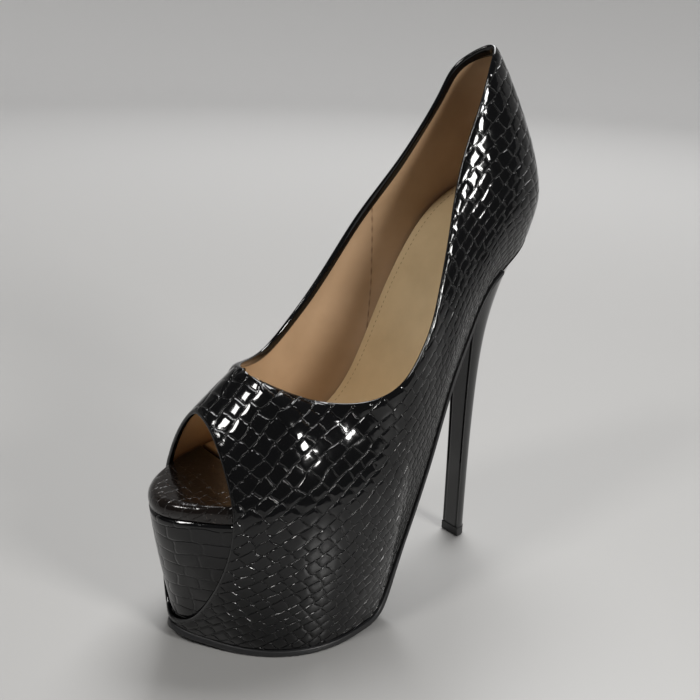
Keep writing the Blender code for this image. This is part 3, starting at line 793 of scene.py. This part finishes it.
def flatten(points, joined, start, rounds=80):
    """Lays the two sides of the upper flat as one pattern that keeps its lengths as well as it can.

    points is side, row, column; the columns in joined share their last row on both sides.
    Each small triangle is turned as it lies now, then all are joined up again, in turns.
    """
    sides, rows, columns = points.shape[:3]
    index = np.arange(sides * rows * columns).reshape(sides, rows, columns)
    index[1, -1, joined] = index[0, -1, joined]
    triangles, local = [], []
    for side in range(sides):
        a, b = index[side, :-1, :-1].ravel(), index[side, :-1, 1:].ravel()
        c, d = index[side, 1:, 1:].ravel(), index[side, 1:, :-1].ravel()
        for corners in ((a, b, c), (a, c, d), (a, b, d), (b, c, d)):
            corner = np.stack(corners, 1)
            spots = points.reshape(-1, 3)[corner]
            first, second = spots[:, 1] - spots[:, 0], spots[:, 2] - spots[:, 0]
            length = np.linalg.norm(first, axis=1)
            run = np.sum(first * second, 1) / length
            rise = np.linalg.norm(np.cross(first, second), axis=1) / length
            triangles.append(corner)
            local.append(np.stack([0 * run, length, run + (1j if side == 0 else -1j) * rise], 1))
    triangles, local = np.concatenate(triangles), np.concatenate(local)
    ahead, local_step = np.roll(triangles, -1, axis=1), local - np.roll(local, -1, axis=1)
    count = index.size
    matrix = np.zeros((count, count))
    np.add.at(matrix, (triangles, triangles), 1)
    np.add.at(matrix, (ahead, ahead), 1)
    np.subtract.at(matrix, (triangles, ahead), 1)
    np.subtract.at(matrix, (ahead, triangles), 1)
    unused = np.diag(matrix) == 0
    matrix[unused, unused] = 1
    matrix[0, 0] += 1
    solve = np.linalg.inv(matrix)
    flat = start.ravel().astype(complex)
    for _ in range(rounds):
        step = flat[triangles] - flat[ahead]
        turn = np.sum(step * np.conj(local_step), axis=1)
        pull = local_step * (turn / np.maximum(np.abs(turn), 1e-12))[:, None]
        total = np.zeros(count, complex)
        np.add.at(total, triangles, pull)
        np.subtract.at(total, ahead, pull)
        flat = solve @ total
    return flat[index]


def skin_chart(foot, edge):
    """A function from a side, ways along the columns and their heights to places among the scales."""
    picked = np.linspace(0, len(foot) - 1, PATTERN_COLUMNS).round().astype(int)
    picked = np.unique(np.concatenate([picked, [APEX_COLUMN, THROAT_COLUMN]]))
    way = np.linspace(0, 1, PATTERN_ROWS)[:, None]
    around = foot[picked] + (edge[picked, 0] - foot[picked]) * way
    up = edge[picked, 1] * way
    points = np.stack([LAST.surface(around, up), LAST.surface(2 * LAST.end - around, up)])
    fall = np.cumsum(np.linalg.norm(np.diff(points[:, ::-1], axis=1), axis=3), axis=1)
    fall = np.concatenate([np.zeros_like(fall[:, :1]), fall], axis=1)[:, ::-1]
    top = points[:, -1:]
    sign = np.array([1, -1])[:, None, None]
    start = top[..., 0] + 1j * top[..., 1] + sign * fall
    joined = np.flatnonzero((picked >= APEX_COLUMN) & (picked <= THROAT_COLUMN))
    flat = flatten(points, joined, start)
    side_view = points[0, ..., 1] + 1j * points[0, ..., 2]
    turn = np.sum((flat[0] - flat[0].mean()) * np.conj(side_view - side_view.mean()))
    flat = flat / turn * abs(turn) * np.exp(-1j * np.radians(SCALE_RISE))
    columns = np.arange(len(foot))

    def chart(side, ways, heights):
        coarse = flat[0 if side > 0 else 1]
        value = np.stack([coarse.T.real, coarse.T.imag], -1)
        value = spline(picked, value.reshape(len(picked), -1))(columns)
        value = value.reshape(len(columns), len(way), 2).transpose(1, 0, 2).reshape(len(way), -1)
        value = spline(way[:, 0], value)(np.linspace(0, 1, CHART_ROWS + 1))
        value = value.reshape(CHART_ROWS + 1, len(columns), 2)
        row = np.clip(ways * CHART_ROWS, 0, CHART_ROWS - 0.001)
        low = row.astype(int)
        part = (row - low)[..., None]
        column = np.broadcast_to(columns, row.shape)
        value = value[low, column] * (1 - part) + value[low + 1, column] * part
        rows = value[..., 1] / SCALE_HIGH - FINE_ROWS * (1 - heights) ** 2
        along = value[..., 0] + STEEP_LOW * (1 - heights) ** 2
        return np.stack([along, rows, 0 * rows], -1)

    return chart


def seam_lines(around, up):
    """How deep the back seam and the inner quarter seam are sunk at each place."""
    back = np.exp(-((around - LAST.end) / SEAM_WIDE) ** 2)
    quarter_at = 2 * LAST.end - LAST.at_row(INNER_SEAM_ROW)
    quarter = np.exp(-((around - quarter_at - 0.006 * (up - 0.3)) / SEAM_WIDE) ** 2)
    return np.maximum(back * (up > 0.02), quarter)


def edge_ways(point, normal, side):
    """Away from the leather, square to its edge, at each column that ends in an open edge."""
    out = np.zeros(point.shape)
    for span in (slice(0, APEX_COLUMN + 1), slice(THROAT_COLUMN, len(point))):
        out[span] = side * unit(np.cross(normal[span], np.gradient(point[span], axis=0)))
    return out


def nearest(points, line):
    """The distance from each point to a line's own points, and which of them is nearest."""
    gaps = [np.linalg.norm(row[:, None] - line[None], axis=2) for row in points]
    return np.array([gap.min(axis=1) for gap in gaps]), np.array([gap.argmin(axis=1) for gap in gaps])


def upper_pieces():
    """Each side's outer skin with its turned edge, and its lining, as rows of points with their looks."""
    foot, edge, open_edge, collar_edge = upper_columns()
    chart = skin_chart(foot, edge)
    way = np.linspace(0, 1, WALL_STEPS + 1)[:, None]
    around = foot + (edge[:, 0] - foot) * way
    up = edge[:, 1] * way
    heres = around, 2 * LAST.end - around
    points = [LAST.surface(here, up) for here in heres]
    # beside the throat the two ways over the skin run together, so a lower place gives its facing
    from_throat = np.linalg.norm(points[0][-1] - points[0][-1, THROAT_COLUMN], axis=1)
    trust = smooth(from_throat, *THROAT_NEAR)[:, None]
    facing = np.minimum(up, THROAT_FACING)
    normals = [unit(LAST.normal(here, up) * trust + LAST.normal(here, facing) * (1 - trust))
               for here in heres]
    ridge = slice(APEX_COLUMN, THROAT_COLUMN + 1)
    normals[0][-1, ridge] = normals[1][-1, ridge] = unit(normals[0][-1, ridge] + normals[1][-1, ridge])
    outs = [edge_ways(p[-1], n[-1], side) for p, n, side in zip(points, normals, SIDES)]
    meet = [0, APEX_COLUMN, THROAT_COLUMN, len(foot) - 1]
    outs[0][meet] = outs[1][meet] = unit(outs[0][meet] + outs[1][meet])
    band = np.where(collar_edge, RIM_BAND, PEEP_BAND)
    band = band + collar_edge * BACK_BAND * smooth(LAST.from_toe(edge[:, 0]), LAST.at_row(16), LAST.end)
    outer, lining = [], []
    for side, here, point, normal, out in zip(SIDES, heres, points, normals, outs):
        to_edge, which = nearest(point, point[-1, open_edge])
        near = np.clip(1 - to_edge / ROLL_REACH, 0, 1) ** 2
        to_foot = np.linalg.norm(point - point[:1], axis=2)
        tuck = FOOT_TUCK * np.clip(1 - to_foot / TUCK_REACH, 0, 1) ** 2
        back = out[open_edge][which] * (RIM_REACH * near)[..., None]
        point = point - normal * (EDGE_ROLL * near + tuck)[..., None] - back
        inner = point - normal * WALL
        # the lining ends under the turned band of the collar
        hidden = collar_edge[open_edge][which] & (to_edge < LINING_UNDER * band[open_edge][which])
        # the fold over the edge, then the turned band on the lining
        middle = point[-1] - normal[-1] * WALL / 2
        rows = [point]
        for angle in np.linspace(0, np.pi, ARC_STEPS + 2)[1:-1]:
            over = normal[-1] * np.cos(angle) * WALL / 2 + out * np.sin(angle) * RIM_REACH
            rows.append((middle + over)[None])
        for share, proud in BAND_SHAPE:
            rows.append((inner[-1] - out * (band * share)[:, None] - normal[-1] * proud)[None])
        extra = len(rows) - 1
        blank = np.zeros((extra, len(foot)))
        places = chart(side, way + 0 * up, up)
        relief = 1 - PLAIN_SHARE * smooth(to_edge, *PLAIN_EDGE)
        outer.append([np.concatenate(rows), np.concatenate([places] + [places[-1:]] * extra),
                      np.concatenate([relief, blank]), np.concatenate([seam_lines(here, up), blank])])
        lining.append([sheet[:-1:2] for sheet in (inner, here, up, hidden)])
    return outer, lining, open_edge


def build_skin(sheets, open_edge):
    """The outer skin and its turned edge; only the open columns have the turned rows."""
    points, charts, reliefs, seams = (np.stack(part) for part in zip(*sheets))
    index = np.arange(seams.size).reshape(seams.shape)
    quads = quads_of(index)
    keep = np.ones(quads.shape[:3], bool)
    keep[:, WALL_STEPS:, ~(open_edge[:-1] & open_edge[1:])] = False
    used, faces = np.unique(quads[keep], return_inverse=True)
    skin = add_mesh("upper_skin", place(points.reshape(-1, 3)[used]), faces.reshape(-1, 4).tolist(), {
        "chart": charts.reshape(-1, 3)[used], "relief": reliefs.ravel()[used],
        "seam": seams.ravel()[used]}, merge=1e-6)
    skin.data.materials.append(patent("patent_croc"))
    return skin


def build_lining(sheets):
    points, around, up, hidden = (np.stack(part) for part in zip(*sheets))
    quads = quads_of(np.arange(hidden.size).reshape(hidden.shape)).reshape(-1, 4)
    faces = quads[~hidden.ravel()[quads].any(axis=1)].tolist()
    seam = {"seam": lining_seam(around, up).ravel()}
    lining = add_mesh("upper_lining", place(points.reshape(-1, 3)), faces, seam, merge=1e-6)
    lining.data.materials.append(lining_leather("tan_lining", (0.47, 0.315, 0.190), 0.42))
    return lining


def lining_seam(around, up):
    """The join between the lining's front and heel pieces, on both sides."""
    short = LAST.from_toe(around)
    at = LAST.at_row(LINING_SEAM_ROW) + 0.018 * (up - 0.72)
    return np.exp(-((short - at) / LINING_SEAM_WIDE) ** 2)


def emboss(piece, depth, wide=SCALE_WIDE):
    """Presses the creases between the scales into a piece's own surface."""
    tree = bpy.data.node_groups.new("emboss_" + piece.name, "GeometryNodeTree")
    tree.interface.new_socket("Geometry", in_out="INPUT", socket_type="NodeSocketGeometry")
    tree.interface.new_socket("Geometry", in_out="OUTPUT", socket_type="NodeSocketGeometry")
    g = Graph("emboss", tree)
    distance = scales(g, wide)[0]
    depth = g.math("MULTIPLY", g.ramp(distance, 0.0, 0.22, -depth, 0.0), g.attribute("relief"))
    push = g.node("ShaderNodeVectorMath", {0: g.node("GeometryNodeInputNormal").outputs[0], "Scale": depth},
                  operation="SCALE")
    move = g.node("GeometryNodeSetPosition", {"Geometry": g.node("NodeGroupInput").outputs[0],
                                              "Offset": push.outputs[0]})
    g.node("NodeGroupOutput", {0: move.outputs[0]})
    piece.modifiers.new("emboss", "NODES").node_group = tree


# The layers inside and under the upper

def girdle(stations, under, top, shares, insets, outline=None):
    """A ring at each station, up the lateral side and down the medial side, between two surfaces."""
    shares = np.asarray(shares)
    foot = LAST.sole(stations)[:, 1]
    levels = under(foot)[:, None] + (top(foot) - under(foot))[:, None] * shares
    halves = []
    for side in SIDES:
        where = (stations if side > 0 else 2 * LAST.end - stations)[:, None]
        for _ in range(3):
            half = LAST.inside(where, levels if outline is None else outline(levels), insets)
            along = half[..., 1]
            levels = under(along) + (top(along) - under(along)) * shares
            half[..., 2] = levels
        halves.append(half)
    meet = np.isin(stations, (0, LAST.end))
    halves[1][meet] = halves[0][meet]
    return halves


def across(lateral, medial, count, dip=None):
    """Rows of points from one edge to the other, with an optional dip in the middle."""
    share = np.linspace(0, 1, count)[None, :, None]
    rows = lateral[:, None] * (1 - share) + medial[:, None] * share
    if dip is not None:
        rows[..., 2] -= dip[:, None] * np.sin(np.pi * share[..., 0]) ** 0.8
    return rows


def layer(stations, under, top, insets, shares, outline=None, top_points=24, dip=None):
    """A dense layer: its rim follows the wall and its top is filled across."""
    lateral, medial = girdle(stations, under, top, shares, insets, outline)
    surface = across(lateral[:, -1], medial[:, -1], top_points, dip)
    return np.concatenate([lateral[:, :-1], surface, medial[:, ::-1][:, 1:]], axis=1)


def rounded_rim(count):
    """Shares of a layer's height round its rim, and how far each is set in to round the edge."""
    turn = np.linspace(0, np.pi, count)
    return 0.5 - 0.5 * np.cos(turn), EDGE_ROUND * (1 - np.sin(turn) ** 0.7)


def stretch_of(spans):
    """Stations along the shoe; each span is its end and the number of steps up to it."""
    parts, start = [np.zeros(1)], 0.0
    for end, count in spans:
        parts.append(np.linspace(start, end, count)[1:])
        start = end
    return np.concatenate(parts)


def build_platform():
    stations = stretch_of(((LAST.at_row(4), 90), (LAST.end, 60)))
    shares = np.linspace(0, 1, PLATFORM_SHARES)
    lateral, medial = girdle(stations, LAYERS.sole, LAYERS.platform_top, shares, CORE_INSET + 0 * shares)
    rings = np.concatenate([lateral, medial[:, ::-1]], axis=1)
    along = np.repeat(stations[:, None], PLATFORM_SHARES, 1)
    along = np.concatenate([along, -along], axis=1)
    chart = np.stack([along, rings[..., 2] / PLATFORM_SCALE_HIGH, 0 * along], -1)
    material = patent("patent_platform", wide=PLATFORM_SCALE_WIDE, relief=0.8)
    return ring_piece("platform_wrap", rings, material, chart=chart,
                      relief=np.full(along.shape, PLATFORM_RELIEF))


def build_insole():
    wrap_end, step_end = (LAST.at_length(TOE_WRAP_END + step) for step in (0, WRAP_STEP))
    front = stretch_of(((LAST.at_row(2.6), 60), (wrap_end, 30)))
    stations = np.concatenate([front, np.linspace(step_end, LAST.end, 80)])
    fades = [LAST.at_row(row) for row in ROLL_FADES]
    showing = np.interp(stations, fades, (1, 0))[:, None]
    shares, rounding = rounded_rim(15)
    upper_half = (shares > 0.5) * TOP_ROUND
    insets = CORE_INSET - ROLL_PROUD * showing + rounding * (1 + (ROLL_ROUND + upper_half) * showing)

    def outline(levels):
        return levels * (1 - showing) + PLATFORM_HEIGHT * showing

    rings = layer(stations, LAYERS.insole_under, LAYERS.insole_top, insets, shares, outline)
    wide, along, height = np.moveaxis(rings, -1, 0)
    chart = np.stack([wide, (along - height) / WRAP_SCALE_HIGH, 0 * wide], -1)
    return ring_piece("toe_wrap", rings, wrap_leather(), chart=chart, relief=1 - smooth(along, *WRAP_FADES))


def wrap_leather():
    """Black wrap over the toe roll with broken creases, bright specks of dust and a brown cast."""
    g = Graph("toe_wrap_leather")
    distance, slant = scales(g, WRAP_SCALE_WIDE)[:2]
    show = g.attribute("relief")
    spot = g.where()
    broken = g.ramp(g.noise(spot, 260.0, 2.0), 0.40, 0.60)
    crease = g.math("MULTIPLY", g.math("MULTIPLY", g.ramp(distance, 0.0, 0.08, 1.0, 0.0), show), broken)
    wavy = g.noise(spot, 160.0, 3.0)
    height = g.math("MULTIPLY_ADD", crease, -1.0, g.math("MULTIPLY", wavy, 0.8))
    height = g.math("MULTIPLY_ADD", g.math("MULTIPLY", slant, show), 0.4, height)
    specks = g.ramp(g.noise(spot, 1500.0, 1.0), 0.74, 0.80)
    base = g.mix(wavy, colour(0.0035, 0.0024, 0.0020), colour(0.0070, 0.0042, 0.0030))
    base = g.mix(g.math("MULTIPLY", specks, 0.45), base, colour(0.55, 0.46, 0.38))
    return g.finish(Base_Color=base, Roughness=g.math("MULTIPLY_ADD", wavy, 0.10, 0.10),
                    Normal=g.bump(height, 0.00032), Coat_Weight=0.3, Coat_Roughness=0.05,
                    Specular_IOR_Level=0.35)


def build_sock():
    """The padded sock, and its top surface for the stitches."""
    stations = np.linspace(LAST.at_length(TOE_WRAP_END + WRAP_STEP + FIT), LAST.end, 150)
    shares, rounding = rounded_rim(RIM_POINTS)
    insets = CORE_INSET + SOCK_MARGIN + rounding
    foot = LAST.sole(stations)[:, 1]
    dip = SOCK_DIP * smooth(foot, 0.11, 0.17) * smooth(LAST.end - stations, 0.0, 0.02)
    rings = layer(stations, LAYERS.sock_under, LAYERS.bed, insets, shares, top_points=SOCK_POINTS, dip=dip)
    material = lining_leather("tan_sock", (0.66, 0.50, 0.29), 0.36)
    piece = ring_piece("sock_lining", rings, material, caps=(0,))
    return piece, rings[:, RIM_POINTS - 1:RIM_POINTS - 1 + SOCK_POINTS]


def capsules(name, centres, ways, ups, length, radius, material):
    """Stitches: a small rounded rod for each place, lying along its way, as one mesh."""
    turn = np.linspace(0, 2 * np.pi, 7)[:-1]
    profile = [(-0.5, 0.35), (-0.36, 0.9), (0, 1.0), (0.36, 0.9), (0.5, 0.35)]
    verts, faces = [], []
    for centre, way, up in zip(centres, ways, ups):
        way = way / np.linalg.norm(way)
        over = unit(up - way * np.dot(up, way))
        aside = np.cross(way, over)
        first = len(verts)
        for share, wide in profile:
            for angle in turn:
                rim = (aside * np.cos(angle) + over * np.sin(angle) * 0.7) * radius * wide
                verts.append(centre + way * share * length + rim)
        faces.extend(grid_faces(5, 6, closed=True, first=first))
        faces.append([first + k for k in range(6)][::-1])
        faces.append([first + 24 + k for k in range(6)])
    piece = add_mesh(name, place(verts), faces, merge=1e-7)
    piece.data.materials.append(material)
    return piece


def evenly(line, spacing):
    """Places and directions at even steps along a line."""
    reach = length_of(line)
    steps = np.arange(0, reach[-1], spacing)
    at, ahead = (np.stack([np.interp(steps + shift, reach, line[:, k]) for k in range(3)], 1)
                 for shift in (0, spacing * 0.4))
    return at[:-1], (ahead - at)[:-1]


def sock_stitches(surface):
    """Two rows of stitches a little inside the sock's edges, sunk a little."""
    wide = surface.shape[1]
    normal = unit(np.cross(surface[1:, wide // 2] - surface[:-1, wide // 2],
                           surface[1:, 0] - surface[1:, -1]))
    normal = unit(np.where(normal[:, 2:] > 0, normal, -normal).mean(axis=0))
    centres, ways, ups = [], [], []
    index = np.arange(len(surface))
    for half in (surface, surface[:, ::-1]):
        share = STITCH_INSET / np.maximum(np.linalg.norm(half[:, -1] - half[:, 0], axis=1), 0.01)
        column = np.clip(share * (wide - 1), 0, wide - 1)
        low = np.floor(column).astype(int)
        part = (column - low)[:, None]
        line = half[index, low] * (1 - part) + half[index, np.minimum(low + 1, wide - 1)] * part
        at, way = evenly(line[2:-6], STITCH_STEP)
        centres.extend(at - normal * STITCH_SUNK)
        ways.extend(way)
        ups.extend(np.repeat(normal[None], len(at), 0))
    return capsules("sock_stitches", centres, ways, ups, STITCH_LENGTH, STITCH_RADIUS, thread())


def build_outsole():
    end = LAST.at_length(BREAST_AT - FIT)
    stations = stretch_of(((LAST.at_row(3), 70), (end, 170)))
    normal = sole_direction(stations)
    square = np.clip((end - stations) / SQUARE_OFF, 0, 1)[:, None]
    plumb = np.array([0.0, 0.0, -1.0]) / np.abs(normal[:, 2:]).clip(0.3)
    down = square * normal + (1 - square) * plumb
    thick = np.interp(stations, (LAST.at_row(8), LAST.at_row(10)), (OUTSOLE_THICKNESS, OUTSOLE_WAIST))
    flange = np.interp(stations, (LAST.at_row(1), LAST.at_row(4)), (-OUTSOLE_FLANGE, OUTSOLE_FLANGE))
    share = np.array([0, 0.06, 0.16, 0.5, 0.78, 0.92, 1])
    rounding = EDGE_ROUND * np.array([0.5, 0.12, 0, 0, 0.1, 0.38, 0.9])
    reach = (FIT + thick[:, None] * share)[..., None]
    proud = (flange[:, None] - rounding)[..., None]
    halves = []
    for side in SIDES:
        where = stations if side > 0 else 2 * LAST.end - stations
        out = LAST.normal(where, 0.02)
        out = unit(out - normal * np.sum(out * normal, -1, keepdims=True))
        halves.append(LAST.sole(where)[:, None] + down[:, None] * reach + out[:, None] * proud)
    lateral, medial = halves
    over = across(medial[:, 0], lateral[:, 0], 6)[:, 1:-1]
    under = across(lateral[:, -1], medial[:, -1], 24)[:, 1:-1]
    rings = np.concatenate([lateral, under, medial[:, ::-1], over], axis=1)
    rings[..., 2] = np.maximum(rings[..., 2], 0)
    return ring_piece("sole_sheet", rings, sole_rubber(), caps=(len(rings) - 1,))


# The heel

def heel_outline(front, back, half, middle):
    """A closed outline: the round back, then the flat breast."""
    turn = np.linspace(0, np.pi, ROUND_POINTS)
    wide = np.sign(np.cos(turn)) * np.abs(np.cos(turn)) ** HEEL_SQUARE
    deep = np.sin(turn) ** HEEL_SQUARE
    round_part = np.stack([middle + half * wide, front + (back - front) * deep], 1)
    share = np.linspace(-1, 1, BREAST_POINTS + 2)[1:-1]
    flat = np.stack([middle + half * share, np.full(share.shape, front)], 1)
    return np.concatenate([round_part, flat])


def seat_ring():
    """The heel's top ring, a little inside the upper's foot."""
    start = LAST.at_length(BREAST_AT)
    foot = LAST.sole(np.linspace(start, 2 * LAST.end - start, ROUND_POINTS))
    rim = foot + unit((foot.mean(axis=0) - foot) * [1, 1, 0]) * HEEL_TUCK
    rim[:, 2] -= SEAT_GAP
    flat = np.linspace(rim[-1], rim[0], BREAST_POINTS + 2)[1:-1]
    return np.concatenate([rim, flat])


def build_heel():
    """The stiletto, with a shallow groove beside each edge of its breast."""
    top = seat_ring()
    low, high = top.min(axis=0), top.max(axis=0)
    front, span = low[1], high[1] - low[1]
    seat_middle = 0.5 * (low[0] + high[0])
    slope = (high[2] - low[2]) / span
    foot = TOP_LIFT + FIT
    rings = []
    for height, lean, depth, width, tilt in HEEL_RINGS:
        ring_front = front + lean * BREAST_LEAN
        deep = TIP_DEPTH + depth * (span - TIP_DEPTH)
        half = (TIP_WIDTH + width * (HEEL_FLARE - TIP_WIDTH)) / 2
        outline = heel_outline(ring_front, ring_front + deep, half, seat_middle * width)
        z = foot + height * (low[2] - foot) + tilt * slope * (outline[:, 1] - ring_front)
        rings.append(np.column_stack([outline, z]))
    rings.append(top)
    heights = [row[0] for row in HEEL_RINGS] + [1.0]
    curve = spline(heights, np.array(rings).reshape(len(rings), -1))
    levels = stretch_of(((0.6, 30), (1, 70)))
    body = curve(levels).reshape(len(levels), -1, 3)
    share = np.linspace(-1, 1, BREAST_POINTS + 2)[1:-1]
    groove = np.exp(-((np.abs(share) - GROOVE_AT) / GROOVE_WIDE) ** 2)
    body[:, ROUND_POINTS:, 1] += GROOVE_DEEP * groove * smooth(levels, 1.0, 0.955)[:, None]
    piece = ring_piece("heel_wrap", body, heel_gloss(), caps=(0, len(levels) - 1))
    piece.data.set_sharp_from_angle(angle=0.75)
    return piece


def build_tip():
    front = seat_ring()[:, 1].min() + BREAST_LEAN - LIFT_PROUD
    rings = []
    for z, shrink in ((0.0, 0.0004), (0.0004, 0.0), (TOP_LIFT - 0.0003, 0.0), (TOP_LIFT, 0.0003)):
        outline = heel_outline(front + shrink, front + TIP_DEPTH + 2 * LIFT_PROUD - shrink,
                               TIP_WIDTH / 2 + LIFT_PROUD - shrink, 0.0)
        rings.append(np.column_stack([outline, np.full(len(outline), z)]))
    piece = ring_piece("top_lift", np.array(rings), lift_rubber(), caps=(0, 3))
    piece.data.set_sharp_from_angle(angle=0.6)
    return piece


# The shoe put together

def build_shoe():
    """Builds every piece, dresses each node with one and adds the lining and the stitches; all of them hang
    from the root.
    """
    outer, inner, open_edge = upper_pieces()
    skin, lining = build_skin(outer, open_edge), build_lining(inner)
    emboss(skin, SCALE_RELIEF)
    platform = build_platform()
    emboss(platform, 0.6 * SCALE_RELIEF, wide=PLATFORM_SCALE_WIDE)
    wrap = build_insole()
    sock, sock_surface = build_sock()
    stitches = sock_stitches(sock_surface)
    sole, heel, tip = build_outsole(), build_heel(), build_tip()
    for piece, node in ((skin, "upper"), (platform, "platform"), (wrap, "insole"), (sock, "sock"),
                        (sole, "outsole"), (heel, "heel"), (tip, "heel_tip")):
        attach(piece, "root")
        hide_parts(node)
    for piece, node in ((lining, "upper"), (stitches, "sock")):
        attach(piece, "root")


# Floor, light and camera

# Stage, metres: the floor's radius, the bend up into the wall, the wall's top, and where the wall stands
FLOOR_REACH = 1.7
WALL_BEND = 0.5
WALL_TOP = 1.8
BEHIND = np.radians(148.7)
STAGE_STEPS = 96

# The photograph's camera: where it stands, how it is turned, its focal length in pixels,
# the pixel it is aimed at and how many pixels the frame takes in
CAMERA_AT = (0.35878, -0.29159, 0.2952)
PITCH = np.radians(19.72)
ROLL = 0.0123
HEADING = np.array([-0.8545, 0.5195])
FOCAL_PIXELS = 976.2
AIM = (472.0, 366.0)
PHOTO_MIDDLE = 350
FRAME_PIXELS = 640.0
SENSOR = 36


def floor_paint_and_shade():
    """A pale floor, with painted shade that darkens it near the shoe; it grows lighter and more matt away
    from the shoe.
    """
    g = Graph("floor_paint_and_shade")
    spot = g.node("ShaderNodeVectorMath", {0: g.where()}, operation="LENGTH").outputs["Value"]
    far = g.ramp(spot, 0.4, 2.0)
    # painted shade: the floor colour is dark grey near the shoe and pale far from it
    shaded_paint = g.mix(far, colour(0.36, 0.356, 0.35), colour(0.72, 0.715, 0.71))
    rough = g.math("MULTIPLY_ADD", far, 0.40, 0.34)
    return g.finish(Base_Color=shaded_paint, Roughness=rough, Specular_IOR_Level=0.5)


def build_stage():
    """A round pale floor that curves up into a pale wall behind the shoe."""
    turn = np.linspace(0, np.pi / 2, 12)
    profile = [(r, 0.0) for r in (0.0, 0.3, 0.8, FLOOR_REACH)]
    profile += [(FLOOR_REACH + WALL_BEND * np.sin(a), WALL_BEND - WALL_BEND * np.cos(a)) for a in turn[1:]]
    profile += [(FLOOR_REACH + WALL_BEND, WALL_TOP)]
    around = np.linspace(0, 2 * np.pi, STAGE_STEPS + 1)[:-1]
    rise = smooth(np.cos(around - BEHIND), -0.3, 0.3)
    verts = [(r * np.cos(a), r * np.sin(a), z * lift) for r, z in profile for a, lift in zip(around, rise)]
    floor = add_mesh("floor", verts, grid_faces(len(profile), STAGE_STEPS, closed=True))
    floor.data.materials.append(floor_paint_and_shade())


def add_light(name, spot, aim, size, power, tint=(1, 1, 1)):
    data = bpy.data.lights.new(name, "AREA")
    data.energy = power
    data.color = tint
    data.shape = "RECTANGLE"
    data.size, data.size_y = size
    light = bpy.data.objects.new(name, data)
    light.location = spot
    light.rotation_euler = (Vector(aim) - Vector(spot)).to_track_quat("-Z", "Y").to_euler()
    bpy.context.scene.collection.objects.link(light)


def add_lights():
    add_light("window", spot=(1.14, 0.14, 0.66), aim=(0.03, -0.04, 0.09), size=(0.30, 0.24), power=11.0,
              tint=(1.0, 0.99, 0.97))
    add_light("lamp", spot=(0.06, -0.80, 1.05), aim=(0, -0.06, 0.11), size=(0.20, 0.20), power=4.5,
              tint=(1.0, 0.985, 0.96))
    add_light("ceiling", spot=(-0.45, 0.55, 1.35), aim=(-0.05, 0.05, 0.0), size=(0.9, 0.9), power=27.0)
    world = bpy.data.worlds.new("world")
    world.use_nodes = True
    sky = world.node_tree.nodes["Background"]
    sky.inputs[0].default_value = colour(0.78, 0.79, 0.80)
    sky.inputs[1].default_value = 0.10
    bpy.context.scene.world = world
    bpy.context.scene.view_settings.view_transform = "Standard"


def build_camera():
    """The photograph's own place and angle, turned a little so that this shoe fills the frame."""
    forward = np.array([*HEADING * np.cos(PITCH), -np.sin(PITCH)])
    right = np.array([HEADING[1], -HEADING[0], 0.0])
    up = np.cross(right, forward)
    right, up = right * np.cos(ROLL) - up * np.sin(ROLL), up * np.cos(ROLL) + right * np.sin(ROLL)
    aim_x, aim_y = ((pixel - PHOTO_MIDDLE) / FOCAL_PIXELS for pixel in AIM)
    forward = unit(forward + right * aim_x - up * aim_y)
    right = unit(right - forward * np.dot(right, forward))
    up = np.cross(right, forward)
    data = bpy.data.cameras.new("camera")
    data.sensor_width = SENSOR
    data.lens = SENSOR * FOCAL_PIXELS / FRAME_PIXELS
    data.clip_start = 0.01
    camera = bpy.data.objects.new("camera", data)
    turn = np.column_stack([right, up, -forward, CAMERA_AT])
    camera.matrix_world = Matrix([*turn.tolist(), (0, 0, 0, 1)])
    bpy.context.scene.collection.objects.link(camera)
    bpy.context.scene.camera = camera


build_shoe()
build_stage()
add_lights()
build_camera()
